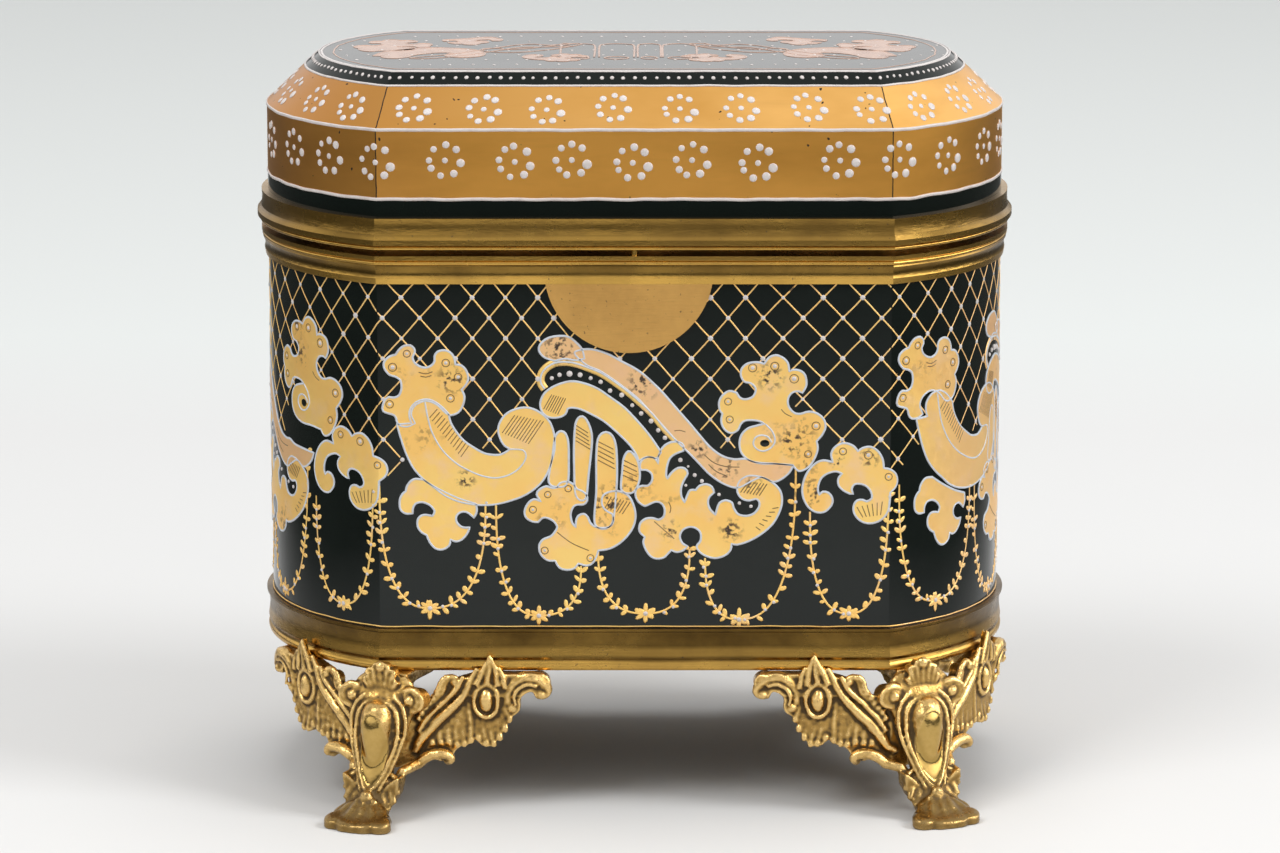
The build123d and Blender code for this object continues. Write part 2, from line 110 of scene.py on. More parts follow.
class CasketColours(bpy.types.PropertyGroup):
    """Colours of the casket's finishes."""

    glass: colour("Glass", "Body and lid glass, seen from outside", (0.003, 0.005, 0.004))
    gilding: colour("Gilding", "Fired gold of the motifs", (1.0, 0.68, 0.21))
    belt_gold: colour("Belt gold", "Fired gold of the lid's belt and bevel", (0.96, 0.47, 0.095))
    bronze: colour("Bronze", "Gilt bronze of rims, plate and band", (0.64, 0.38, 0.085))
    casting: colour("Casting", "Gilt bronze of the cast feet", (0.46, 0.28, 0.08))
    enamel: colour("Enamel", "White enamel", (0.63, 0.585, 0.565))
    outline: colour("Outline enamel", "Bluish enamel round the gilt motifs", (0.58, 0.62, 0.68))
    floor: colour("Floor", "Table and background", (0.69, 0.69, 0.685))


def sizes():
    return bpy.context.scene.casket_sizes


def colours():
    return bpy.context.scene.casket_colours


# ---------------------------------------------------------------- shader nodes

class Value:
    """A shader socket that takes part in Python arithmetic."""

    def __init__(self, paint, socket):
        self.paint = paint
        self.socket = socket

    def maths(self, operation, *values):
        return self.paint.node("ShaderNodeMath", dict(enumerate(values)), operation=operation)

    def __add__(self, other):
        return self.maths("ADD", self, other)

    __radd__ = __add__

    def __sub__(self, other):
        return self.maths("SUBTRACT", self, other)

    def __rsub__(self, other):
        return self.maths("SUBTRACT", other, self)

    def __mul__(self, other):
        return self.maths("MULTIPLY", self, other)

    __rmul__ = __mul__

    def __abs__(self):
        return self.maths("ABSOLUTE", self)

    def above(self, level):
        return self.maths("GREATER_THAN", self, level)

    def below(self, level):
        return self.maths("LESS_THAN", self, level)

    def most(self, other):
        return self.maths("MAXIMUM", self, other)

    def least(self, other):
        return self.maths("MINIMUM", self, other)

    def ramp(self, low, high, start=0.0, end=1.0):
        """The value run from start to end as it goes from low to high, and held past them."""
        return self.paint.node("ShaderNodeMapRange", {0: self, 1: low, 2: high, 3: start, 4: end},
                               clamp=True)


class Paint:
    """One material, or a world, and its nodes."""

    def __init__(self, name, kind="materials"):
        self.owner = getattr(bpy.data, kind).new(name)
        self.owner.use_nodes = True
        self.tree = self.owner.node_tree
        self.tree.nodes.clear()

    def node(self, kind, inputs=None, output=0, stops=None, **settings):
        """Add a node: its settings first, then the values or links of its sockets."""
        made = self.tree.nodes.new(kind)
        for name, value in settings.items():
            setattr(made, name, value)
        if stops:
            ramp = made.color_ramp
            for _ in stops[2:]:
                ramp.elements.new(0.5)
            for element, (place, shade) in zip(ramp.elements, stops):
                element.position = place
                element.color = (*shade, 1.0)
        for key, value in (inputs or {}).items():
            if isinstance(value, Value):
                self.tree.links.new(value.socket, made.inputs[key])
            elif made.inputs[key].type == "RGBA":
                made.inputs[key].default_value = (*value[:3], 1.0)
            else:
                made.inputs[key].default_value = value
        return Value(self, made.outputs[output]) if made.outputs else None

    def place(self, stretch=(1.0, 1.0, 1.0)):
        """Object coordinates, stretched."""
        spot = self.node("ShaderNodeTexCoord", output="Object")
        return self.node("ShaderNodeMapping", {"Vector": spot, "Scale": stretch})

    def parts(self, vector):
        """The three numbers of a vector."""
        split = self.node("ShaderNodeSeparateXYZ", {0: vector})
        outputs = split.socket.node.outputs
        return [Value(self, outputs[index]) for index in range(3)]

    def speckle(self, vector, scale, detail=3.0, roughness=0.55):
        """Noise from 0 to 1 over a vector."""
        return self.node("ShaderNodeTexNoise", {"Vector": vector, "Scale": scale, "Detail": detail,
                                                "Roughness": roughness})

    def mix(self, factor, first, second):
        """Colour between two colours."""
        return self.node("ShaderNodeMix", {0: factor, 6: first, 7: second}, output=2, data_type="RGBA")

    def apart(self, vector, place):
        """How far a vector is from a place in millimetres, in metres."""
        return self.node("ShaderNodeVectorMath", {0: vector, 1: [number * MM for number in place]},
                         output="Value", operation="DISTANCE")

    def bump(self, height, depth):
        return self.node("ShaderNodeBump", {"Height": height, "Distance": depth, "Strength": 1.0})

    def bare_glass(self, spot):
        """The uneven colour of the near-black glass."""
        glass = colours().glass
        return self.mix(self.speckle(spot, 90.0), glass, [part * 1.7 for part in glass])

    def surface(self, inputs):
        """Put a Principled surface on the material."""
        shader = self.node("ShaderNodeBsdfPrincipled", inputs)
        self.node("ShaderNodeOutputMaterial", {"Surface": shader})
        return self.owner


def dress(material, *nodes):
    """Give CAD nodes a better material."""
    for node in nodes:
        mesh = NODES[node].data
        mesh.materials.clear()
        mesh.materials.append(material)


def glass_paint(name):
    """Near-black glass: glossy, with faint waves and smears."""
    paint = Paint(name)
    spot = paint.place()
    return paint.surface({
        "Base Color": paint.bare_glass(spot), "IOR": 1.4,
        "Roughness": paint.speckle(spot, 260.0, 4.0).ramp(0.45, 0.75, 0.05, 0.16),
        "Normal": paint.bump(paint.speckle(spot, 55.0, 2.0), 0.00006)})


def lid_glass_paint(name):
    """Lid glass with its gilt belt and bevel: gold outside, bare dark glass inside and on the top."""
    paint = Paint(name)
    spot = paint.place()
    x, _, z = paint.parts(spot)
    facing = paint.node("ShaderNodeTexCoord", output="Normal")
    outward = paint.node("ShaderNodeVectorMath", {0: spot, 1: facing}, output="Value",
                         operation="DOT_PRODUCT")
    gilt = outward.above(0.004) * z.above(BELT_FOOT * MM) * z.below((CROWN_FOOT - 0.1) * MM)

    # The gold: a shade of its own on the belt; on the bevel, painted shade at the left and a painted
    # highlight at the right; browned in places, redder at the left end
    bevel_gold_painted_light = paint.mix(x.ramp(-0.055, 0.030), (0.58, 0.28, 0.065), (1.0, 0.56, 0.17))
    gold = paint.mix(z.above(BELT_TOP * MM), colours().belt_gold, bevel_gold_painted_light)
    copper = paint.speckle(paint.place((1.0, 1.0, 3.0)), 32.0, 4.0)
    gold = paint.mix(copper.ramp(0.40, 0.75) * 0.7, gold, (0.66, 0.31, 0.055))
    gold = paint.mix(x.ramp(-0.066, -0.030, 0.4, 0.0), gold, (0.62, 0.26, 0.09))
    brushed = paint.speckle(paint.place((1.0, 1.0, 9.0)), 60.0, 4.0)
    gold = paint.mix(brushed.ramp(0.55, 0.8, 0.0, 0.14), gold, (0.42, 0.19, 0.03))

    # Dark specks, and the fine crack at each corner between flat and bow
    specks = paint.speckle(spot, 760.0, 1.0).ramp(0.755, 0.77)
    crack_wave = paint.speckle(spot, 400.0, 2.0) * 0.0003
    corner = (FLAT_HALF_LENGTH + 0.1) * MM - (z - BELT_TOP * MM).most(0.0) * 0.28
    cracks = abs(abs(x) + crack_wave - corner).below(0.00011)
    dark = (specks + cracks).least(1.0)
    gold = paint.mix(dark, gold, (0.03, 0.018, 0.01))
    return paint.surface({
        "Base Color": paint.mix(gilt, paint.bare_glass(spot), gold),
        "Metallic": gilt * (1.0 - dark),
        "Roughness": gilt.ramp(0.0, 1.0, 0.07, 0.34),
        "IOR": 1.3, "Coat Weight": z.above((LID_TOP - 0.2) * MM) * 0.24, "Coat Roughness": 0.06,
        "Normal": paint.bump(paint.speckle(spot, 55.0, 2.0) + brushed * gilt * 0.12, 0.00008)})


# Where the gilding on the front is most worn: along, height and reach, in millimetres
WORN_PLACES = ((-33.0, 80.5, 3.4), (-13.5, 86.2, 4.2), (1.5, 79.6, 3.6), (-30.5, 62.0, 2.2), (6.5, 52.5, 2.4),
               (24.5, 81.0, 3.2), (28.5, 69.0, 3.4), (11.5, 67.6, 2.2), (16.5, 64.0, 3.0), (17.5, 52.6, 2.6),
               (42.5, 66.0, 2.2), (36.5, 65.5, 1.8), (21.5, 61.0, 2.0))


def gilt_paint(name, pink=0.0):
    """Fired gold on glass, worn to dark specks in patches."""
    paint = Paint(name)
    spot = paint.place()
    broad = paint.speckle(spot, 70.0, 3.0)
    fine = paint.speckle(spot, 900.0, 3.0)
    gold = paint.mix(broad.ramp(0.35, 0.65), colours().gilding, (1.0, 0.60, 0.17))
    gold = paint.mix(paint.speckle(spot, 210.0, 4.0).ramp(0.52, 0.72), gold, (0.96, 0.63, 0.29))
    gold = paint.mix(pink, gold, (0.86, 0.52, 0.30))
    gold = paint.mix(paint.parts(spot)[0].ramp(0.050, 0.060, 0.0, 0.5), gold, (0.98, 0.60, 0.31))
    patches = broad.ramp(0.62, 0.74)
    for along, height, reach in WORN_PLACES:
        apart = paint.apart(spot, (along, -HALF_DEPTH, height))
        patches = patches.most(apart.ramp(reach * MM, reach * MM * 0.35))
    worn = (patches * fine.ramp(0.50, 0.60)).least(1.0)
    return paint.surface({
        "Base Color": paint.mix(worn, gold, (0.05, 0.03, 0.02)),
        "Metallic": worn.ramp(0.0, 1.0, 0.5, 0.2),
        "Roughness": fine.ramp(0.2, 0.8, 0.30, 0.48),
        "Normal": paint.bump(fine, 0.00003)})


def cast_paint(name):
    """Gilt castings: a painted highlight on the high places, dirt and painted shade in the hollows, darker
    towards the floor, burnished on the cabochons.
    """
    paint = Paint(name)
    spot = paint.place()
    recess = paint.node("ShaderNodeAttribute", output="Fac", attribute_name="recess")
    burnish = paint.node("ShaderNodeAttribute", output="Fac", attribute_name="burnish")
    fine = paint.speckle(spot, 1100.0, 4.0)
    stain = paint.speckle(spot, 130.0, 5.0)
    rough_recess = recess + (fine - 0.5) * 0.22
    # Dirt and painted shade in the hollows; a painted highlight on the high places
    dirt_and_shade = rough_recess.ramp(0.52, 0.72) * (1.0 - burnish)
    high = rough_recess.ramp(0.50, 0.30)
    metal = paint.mix(stain.ramp(0.40, 0.72) * 0.6, colours().casting, (0.28, 0.16, 0.045))
    # Painted highlight: the high places of the relief brightened
    metal = paint.mix(high * 0.7, metal, (0.95, 0.65, 0.26))
    metal = paint.mix(burnish * 0.6, metal, (0.50, 0.34, 0.10))
    # Dirt and painted shade: the hollows darkened almost to black
    metal = paint.mix(dirt_and_shade * 0.92, metal, (0.045, 0.026, 0.010))
    # The casting darker towards the floor: most below 4 mm, none above 12 mm
    darker_near_floor = paint.parts(spot)[2].ramp(0.004, 0.012, 0.7, 0.0)
    metal = paint.mix(darker_near_floor, metal, (0.16, 0.10, 0.035))
    grain = (fine * 0.5 + paint.speckle(spot, 420.0, 3.0)) * (1.0 - burnish * 0.85)
    return paint.surface({
        "Base Color": metal, "Metallic": dirt_and_shade.ramp(0.0, 1.0, 1.0, 0.6),
        "Roughness": (dirt_and_shade.ramp(0.0, 1.0, 0.24, 0.6) + fine * 0.08) * (1.0 - burnish * 0.6),
        "Normal": paint.bump(grain, 0.00022)})


def enamel_paint(name, shade):
    """Enamel: thick, softly glossy, a little dirty."""
    paint = Paint(name)
    dirt = paint.speckle(paint.place(), 480.0, 4.0).ramp(0.50, 0.80)
    return paint.surface({
        "Base Color": paint.mix(dirt * 0.55, shade, (0.42, 0.35, 0.32)),
        "Roughness": dirt.ramp(0.0, 1.0, 0.30, 0.5)})


def bronze_paint(name, base, dark, roughness, grain, tarnish, tones=None):
    """Gilt bronze, browned and pitted where the gilding has gone.

    Tones are heights in millimetres, each with how bright the metal is kept there, from 0 to 1: painted
    shade, with tarnish, that darkens members of the mouldings.
    """
    paint = Paint(name)
    spot = paint.place(grain)
    stain = paint.speckle(paint.place(), 60.0, 5.0, 0.6)
    fine = paint.speckle(spot, 700.0, 4.0)
    streaks = paint.speckle(spot, 160.0, 4.0)
    pits = paint.speckle(paint.place(), 1500.0, 2.0).ramp(0.68, 0.76)
    metal = paint.mix(stain.ramp(0.42, 0.72) * tarnish, base, dark)
    metal = paint.mix(streaks.ramp(0.55, 0.8) * 0.35, metal, [part * 0.55 for part in base])
    metal = paint.mix(pits * 0.8, metal, (0.05, 0.03, 0.012))
    # Painted shade with tarnish: the mouldings darkened member by member by height, a little unevenly along
    # them
    if tones:
        low, high = tones[0][0], tones[-1][0]
        along = paint.place((1.0, 1.0, 0.2))
        height = paint.parts(paint.place())[2] + (paint.speckle(along, 40.0, 2.0) - 0.5) * 0.0008
        stops = [((level - low) / (high - low), (1.0 - shade,) * 3) for level, shade in tones]
        tarnish_and_shade = paint.node("ShaderNodeValToRGB", {0: height.ramp(low * MM, high * MM)}, stops=stops)
        metal = paint.mix(tarnish_and_shade * stain.ramp(0.30, 0.65, 0.78, 1.0), metal, (0.050, 0.028, 0.008))
    return paint.surface({
        "Base Color": metal,
        "Metallic": pits.ramp(0.0, 1.0, 1.0, 0.5),
        "Roughness": (stain.ramp(0.3, 0.8, roughness - 0.07, roughness + 0.13) + fine * 0.06),
        "Normal": paint.bump(streaks * 0.6 + fine * 0.4, 0.00007)})


def plain_paint(name, base, shade, roughness, metallic=0.0):
    """A quiet, mottled finish."""
    paint = Paint(name)
    mottle = paint.speckle(paint.place(), 420.0, 4.0)
    return paint.surface({
        "Base Color": paint.mix(mottle.ramp(0.3, 0.7), base, shade),
        "Metallic": metallic,
        "Roughness": mottle.ramp(0.0, 1.0, roughness, roughness + 0.2),
        "Normal": paint.bump(mottle, 0.00005)})


BODY_GLASS = "body_glass_paint"

# How the pieces made here are finished
FINISHES = {
    BODY_GLASS: glass_paint,
    "fired_gilding": gilt_paint,
    "rubbed_gilding": lambda name: gilt_paint(name, 0.7),
    "lattice_gilding": lambda name: gilt_paint(name, 0.2),
    "white_enamel": lambda name: enamel_paint(name, colours().enamel),
    "outline_enamel": lambda name: enamel_paint(name, colours().outline),
    "etched_glass": lambda name: plain_paint(name, (0.10, 0.055, 0.02), (0.26, 0.15, 0.055), 0.3),
    "copper_lustre": lambda name: plain_paint(name, (0.56, 0.36, 0.27), (0.40, 0.27, 0.22), 0.16),
    "cast_bronze_paint": cast_paint,
}


def finish(name):
    """A material by its name, made when it is first asked for."""
    return bpy.data.materials.get(name) or FINISHES[name](name)


# ---------------------------------------------------------------- surfaces of the glass

def plan_point(along, inset=0.0):
    """Point and outward direction on the plan, at a distance round it from the middle of the front."""
    turns, along = divmod(along + QUARTER, 2 * QUARTER)
    along -= QUARTER
    radius = BOW_RADIUS - inset
    depth = HALF_DEPTH - inset
    corner = BOW_CENTRE + sqrt(radius**2 - depth**2)
    side = 1 if along >= 0 else -1
    reach = abs(along)
    if reach <= FLAT_HALF_LENGTH:
        point = Vector((side * corner * reach / FLAT_HALF_LENGTH, -depth))
        out = Vector((0.0, -1.0))
    else:
        start = -atan2(depth, corner - BOW_CENTRE)
        angle = start * (1 - (reach - FLAT_HALF_LENGTH) / (QUARTER - FLAT_HALF_LENGTH))
        point = Vector((side * (BOW_CENTRE + radius * cos(angle)), radius * sin(angle)))
        out = Vector((side * cos(angle), sin(angle)))
    if turns % 2:
        point, out = -point, -out
    return point, out


class Skin:
    """A band of the glass's outer surface, from a lower edge to an upper edge."""

    def __init__(self, low, inset_low, high, inset_high):
        self.low, self.inset_low = low, inset_low
        self.rise, self.run = high - low, inset_high - inset_low
        self.slant = hypot(self.rise, self.run)

    def lay(self, along, up, lift):
        """Point of space for a place of the drawing: along and up the band, and how far out of it."""
        share = up / self.slant
        point, out = plan_point(along, self.inset_low + self.run * share)
        level = self.rise / self.slant
        tilt = self.run / self.slant
        return Vector((point.x + out.x * lift * level, point.y + out.y * lift * level,
                       self.low + self.rise * share + lift * tilt))


WALL = Skin(0.0, 0.0, 100.0, 0.0)
BEVEL = Skin(BELT_TOP, 0.0, CROWN_FOOT, BEVEL_INSET)
CROWN = Skin(CROWN_FOOT, BEVEL_INSET, LID_TOP, BEVEL_INSET + CROWN_INSET)
TOP_BORDER = Skin(LID_TOP, BEVEL_INSET + CROWN_INSET, LID_TOP, BEVEL_INSET + CROWN_INSET + 10.0)


class Top:
    """The flat top of the lid: a drawing's along and up are x and y."""

    def lay(self, along, up, lift):
        return Vector((along, up, LID_TOP + lift))


# ---------------------------------------------------------------- drawing on the glass

CUSP = True

# Into how many parts a span of a relief stroke is divided
STROKE_PARTS = 4

# Plates of gilding: distance at which points are one, how far a cut keeps from the ends, and the angle
# past which an edge stays sharp
MERGED = 1e-4
CUT_MARGIN = 0.05
SHARP = 0.6


def clamp(*values):
    """The least of some numbers, held from 0 to 1."""
    return max(0.0, min(1.0, *values))


def hermite(t, a, leave, b, arrive):
    """A place between a and b, a share t of the way, with how the line leaves a and arrives at b."""
    return ((2 * t**3 - 3 * t**2 + 1) * a + (t**3 - 2 * t**2 + t) * leave
            + (3 * t**2 - 2 * t**3) * b + (t**3 - t**2) * arrive)


def smooth(points, closed, step=0.45):
    """Points of a line drawn smoothly through given points, with a corner at each cusp."""
    count = len(points)
    spans = count if closed else count - 1
    line = []
    for index in range(spans):
        start, end = points[index], points[(index + 1) % count]
        before = points[index - 1] if (closed or index) else start
        after = points[(index + 2) % count] if (closed or index + 2 < count) else end
        a, b = Vector(start[:2]), Vector(end[:2])
        leave = (b - a) if len(start) > 2 else (b - Vector(before[:2])) / 2
        arrive = (b - a) if len(end) > 2 else (Vector(after[:2]) - a) / 2
        pieces = max(1, round((b - a).length / step))
        line += [hermite(part / pieces, a, leave, b, arrive) for part in range(pieces)]
    if not closed:
        line.append(Vector(points[-1][:2]))
    return line


def rounded(stroke):
    """A given stroke of any coordinates, drawn smoothly through its points."""
    line = []
    for index, (start, end) in enumerate(zip(stroke, stroke[1:])):
        before = stroke[index - 1] if index else start
        after = stroke[index + 2] if index + 2 < len(stroke) else end
        for part in range(STROKE_PARTS):
            line.append(tuple(hermite(part / STROKE_PARTS, a, (b - p) / 2, b, (q - a) / 2)
                              for p, a, b, q in zip(before, start, end, after)))
    line.append(stroke[-1])
    return line


def baked(bm, name="drawing"):
    """A new mesh made of a bmesh, which is freed."""
    mesh = bpy.data.meshes.new(name)
    bm.to_mesh(mesh)
    bm.free()
    return mesh


def new_piece(name, bm, material, body):
    """Turn a bmesh in millimetres into a piece with a finish of FINISHES, which rides on a body."""
    bmesh.ops.scale(bm, vec=(MM, MM, MM), verts=bm.verts)
    mesh = baked(bm, name)
    for face in mesh.polygons:
        face.use_smooth = True
    mesh.materials.append(finish(material))
    piece = bpy.data.objects.new(name, mesh)
    bpy.context.scene.collection.objects.link(piece)
    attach(piece, body)
    return piece


def evaluated(data, modify=None):
    """The mesh of an object that holds some data, with what modify does to it; the object is removed."""
    holder = bpy.data.objects.new("holder", data)
    bpy.context.scene.collection.objects.link(holder)
    if modify:
        modify(holder)
    bpy.context.view_layer.update()
    graph = bpy.context.evaluated_depsgraph_get()
    mesh = bpy.data.meshes.new_from_object(holder.evaluated_get(graph))
    bpy.data.objects.remove(holder)
    return mesh


def curve_mesh(lines, **settings):
    """The mesh of a curve along lines of (points, closed); a point is x, y, z and radius."""
    curve = bpy.data.curves.new("lines", "CURVE")
    for name, value in settings.items():
        setattr(curve, name, value)
    for points, closed in lines:
        spline = curve.splines.new("POLY")
        spline.points.add(len(points) - 1)
        for target, (x, y, z, radius) in zip(spline.points, points):
            target.co = (x, y, z, 1.0)
            target.radius = radius
        spline.use_cyclic_u = closed
    mesh = evaluated(curve)
    bpy.data.curves.remove(curve)
    return mesh


def curve_points(points):
    """Points of a drawing as points of a curve."""
    return [(*point, 0.0, 1.0) for point in points]


def stamp(bm, template, places=(Matrix(),)):
    """Add a copy of a mesh at each place; the mesh itself is removed."""
    for place in places:
        shape = template.copy()
        shape.transform(place)
        bm.from_mesh(shape)
        bpy.data.meshes.remove(shape)
    bpy.data.meshes.remove(template)


def draw_lines(bm, lines, width, height, shifts=((0.0, 0.0),), sink=0.02):
    """Raised lines: each (points, closed) becomes a low ridge on the drawing, copied to each shift."""
    mesh = curve_mesh([(curve_points(points), closed) for points, closed in lines], dimensions="3D",
                      fill_mode="FULL", bevel_depth=width / 2, bevel_resolution=1, use_fill_caps=True)
    flat = Matrix.Translation((0.0, 0.0, sink)) @ Matrix.Diagonal((1.0, 1.0, 2 * height / width, 1.0))
    stamp(bm, mesh, [Matrix.Translation((along, up, 0.0)) @ flat for along, up in shifts])


def draw_strokes(bm, strokes):
    """Round strokes of swelling radius: each is a list of points of space, each with its radius."""
    lines = []
    for stroke in strokes:
        line = []
        for start, end in zip(stroke, stroke[1:]):
            line += [tuple(a + (b - a) * part / STROKE_PARTS for a, b in zip(start, end))
                     for part in range(STROKE_PARTS)]
        lines.append(([*line, stroke[-1]], False))
    stamp(bm, curve_mesh(lines, dimensions="3D", fill_mode="FULL", bevel_depth=1.0, bevel_resolution=2,
                         use_fill_caps=True))


def draw_plates(bm, outline, thickness, shifts, strip=1.8):
    """Thin plates of gilding filling an outline, cut into strips so that they can follow a bow."""
    plate = bmesh.new()
    stamp(plate, curve_mesh([(curve_points(outline), True)], dimensions="2D", fill_mode="BOTH",
                            extrude=thickness / 2))
    bmesh.ops.remove_doubles(plate, verts=plate.verts, dist=MERGED)
    bmesh.ops.translate(plate, vec=(0.0, 0.0, thickness / 2), verts=plate.verts)
    low = min(point[0] for point in outline)
    high = max(point[0] for point in outline)
    cuts = [low + cut * strip for cut in range(1, round((high - low) / strip))]
    corners = {round(side * FLAT_HALF_LENGTH + turn * QUARTER - along, 3)
               for side in (-1, 1) for turn in range(-2, 4) for along, _ in shifts}
    cuts += [corner for corner in sorted(corners)
             if cuts and low + CUT_MARGIN < corner < high - CUT_MARGIN]
    for cut in cuts:
        whole = [*plate.verts, *plate.edges, *plate.faces]
        bmesh.ops.bisect_plane(plate, geom=whole, dist=1e-5, plane_co=(cut, 0, 0), plane_no=(1, 0, 0))
    bmesh.ops.triangulate(plate, faces=plate.faces)
    for edge in plate.edges:
        edge.smooth = edge.calc_face_angle(0.0) < SHARP
    stamp(bm, baked(plate), [Matrix.Translation((along, up, 0.0)) for along, up in shifts])


def draw_dots(bm, places, around=8, rings=5):
    """A dot or a leaf at each place."""
    ball = bmesh.new()
    bmesh.ops.create_uvsphere(ball, u_segments=around, v_segments=rings, radius=1.0)
    stamp(bm, baked(ball), places)


def wrap(bm, skin):
    """Lay a drawing (x along, y up, z out of the glass) on a skin of the glass."""
    for vert in bm.verts:
        vert.co = skin.lay(*vert.co)
    return bm


def laid(skin, draw, *arguments):
    """A new drawing, laid on a skin of the glass."""
    bm = bmesh.new()
    draw(bm, *arguments)
    return wrap(bm, skin)


def dot(along, up, diameter, height=0.3):
    """Place of a round dot, half sunk in the glass; height is its share of the diameter."""
    return (Matrix.Translation((along, up, 0.0))
            @ Matrix.Diagonal((diameter / 2, diameter / 2, diameter * height, 1.0)))


def leaf(along, up, turn, long, wide, height=0.1):
    """Place of a small leaf lying on the glass, pointing to turn from its foot."""
    return (Matrix.Translation((along, up, 0.0)) @ Matrix.Rotation(turn, 4, "Z")
            @ Matrix.Translation((long / 2, 0.0, 0.0)) @ Matrix.Diagonal((long / 2, wide / 2, height, 1.0)))


# ---------------------------------------------------------------- the frieze round the body

# Outlines of the gilt motifs, in millimetres: distance along the glass from the middle
# of the front, and height above the floor. A point marked CUSP is a corner.
SHELL = (
    (-43.0, 73.2, CUSP), (-43.4, 73.9), (-45.3, 74.6), (-45.4, 75.7), (-44.9, 76.8), (-44.3, 77.2, CUSP),
    (-43.3, 77.1), (-42.4, 77.6), (-42.0, 78.9), (-42.2, 80.3), (-43.1, 81.0), (-44.1, 81.3), (-44.9, 82.2),
    (-45.2, 83.1), (-44.9, 84.0), (-44.0, 84.7), (-43.0, 85.0, CUSP), (-42.4, 85.9), (-41.5, 86.6),
    (-40.4, 86.7), (-39.7, 86.1), (-39.6, 85.4), (-40.0, 84.6), (-39.7, 83.6), (-38.8, 82.9), (-37.7, 82.6),
    (-36.6, 83.0), (-36.0, 83.8), (-36.0, 84.7), (-35.5, 85.5), (-34.3, 85.8), (-33.2, 85.4), (-32.5, 84.4),
    (-32.3, 83.2, CUSP), (-31.2, 83.0), (-30.3, 82.0), (-30.0, 80.6), (-30.5, 79.4), (-31.2, 78.6, CUSP),
    (-30.7, 77.3), (-31.0, 75.7), (-31.8, 74.4), (-33.2, 73.9), (-34.1, 74.3), (-34.7, 74.9, CUSP),
    (-35.5, 75.7), (-36.6, 76.3), (-37.9, 76.5), (-39.3, 75.9), (-40.1, 75.0), (-40.3, 73.9),
    (-39.6, 72.4, CUSP), (-40.9, 71.8), (-42.2, 71.9), (-42.8, 72.5))
HORN = (
    (-42.9, 72.2, CUSP), (-42.2, 69.7), (-41.3, 66.9), (-40.0, 64.2), (-38.2, 62.1), (-36.1, 60.4),
    (-34.1, 58.9), (-31.4, 57.8), (-28.2, 57.3), (-25.3, 57.4), (-22.4, 58.1), (-19.7, 59.2), (-17.4, 60.9),
    (-15.9, 63.0), (-14.8, 66.0), (-14.4, 68.3), (-14.6, 70.6), (-15.4, 72.7), (-17.0, 74.3), (-19.0, 75.2),
    (-21.0, 75.1), (-23.0, 74.2), (-24.2, 72.7), (-24.6, 71.1), (-24.2, 69.5), (-23.5, 68.3), (-22.6, 67.6),
    (-23.9, 66.7), (-25.1, 66.5), (-27.1, 66.8), (-29.1, 67.9), (-30.9, 69.2), (-32.3, 70.9), (-33.2, 72.5),
    (-33.6, 74.2, CUSP), (-35.2, 75.8), (-37.2, 76.8), (-39.2, 76.4), (-40.5, 75.0), (-40.6, 73.4),
    (-40.2, 72.4, CUSP))
HORN_RIDGE = (
    (-37.8, 76.3), (-37.4, 73.9), (-36.7, 71.1), (-35.5, 68.6), (-33.9, 66.5), (-31.8, 64.7), (-29.6, 63.5),
    (-27.6, 62.7), (-25.3, 62.3), (-23.1, 62.7), (-21.3, 63.7), (-20.0, 65.2), (-19.6, 66.5), (-20.1, 67.4),
    (-21.4, 67.6), (-22.6, 67.6))
SPRIG = (
    (-28.7, 57.5, CUSP), (-28.6, 56.1), (-29.1, 54.9, CUSP), (-29.6, 55.4), (-30.5, 56.0), (-31.6, 55.9),
    (-32.3, 55.2), (-32.3, 54.2), (-31.6, 53.3), (-30.7, 53.0), (-29.9, 53.1, CUSP), (-30.4, 51.9),
    (-31.4, 50.8), (-32.5, 50.5), (-33.4, 50.9, CUSP), (-33.6, 49.8), (-34.8, 49.0), (-36.1, 49.2),
    (-37.1, 50.3), (-37.7, 51.7, CUSP), (-38.6, 52.2), (-39.3, 53.3), (-39.2, 54.7), (-38.2, 55.4),
    (-36.6, 55.2, CUSP), (-36.2, 56.1), (-37.0, 57.2), (-38.4, 57.8), (-39.7, 57.5), (-40.2, 56.5),
    (-40.2, 55.7, CUSP), (-41.5, 55.7), (-42.4, 56.5), (-42.5, 58.2), (-42.0, 59.3), (-41.4, 59.8, CUSP),
    (-41.1, 60.9), (-40.0, 62.0), (-38.3, 62.0, CUSP), (-35.5, 60.3), (-32.0, 58.6))
SCROLL_BAR = (
    (4.8, 67.0, CUSP), (2.8, 70.0), (0.4, 72.9), (-1.9, 75.3), (-4.3, 77.1), (-6.6, 78.7), (-9.0, 79.7),
    (-11.3, 80.1), (-13.5, 79.6), (-15.3, 78.7), (-16.5, 77.5), (-17.0, 75.8), (-16.5, 74.3), (-15.3, 73.5),
    (-13.7, 73.5), (-12.5, 74.1), (-12.1, 75.1, CUSP), (-11.3, 75.3), (-9.7, 75.0), (-7.6, 74.0),
    (-5.4, 72.7), (-3.1, 70.7), (-1.0, 68.6), (0.2, 66.9), (0.8, 65.5, CUSP), (2.3, 66.2), (4.0, 65.9, CUSP))
CHANNEL = (
    (-16.2, 78.7), (-16.9, 79.9), (-16.8, 81.3), (-16.0, 82.5), (-14.6, 83.4), (-13.0, 83.7), (-10.9, 83.5),
    (-8.5, 82.7), (-6.1, 81.7), (-3.8, 80.2), (-1.4, 78.4), (0.9, 76.4), (3.3, 74.1), (5.4, 71.5),
    (7.4, 69.4))
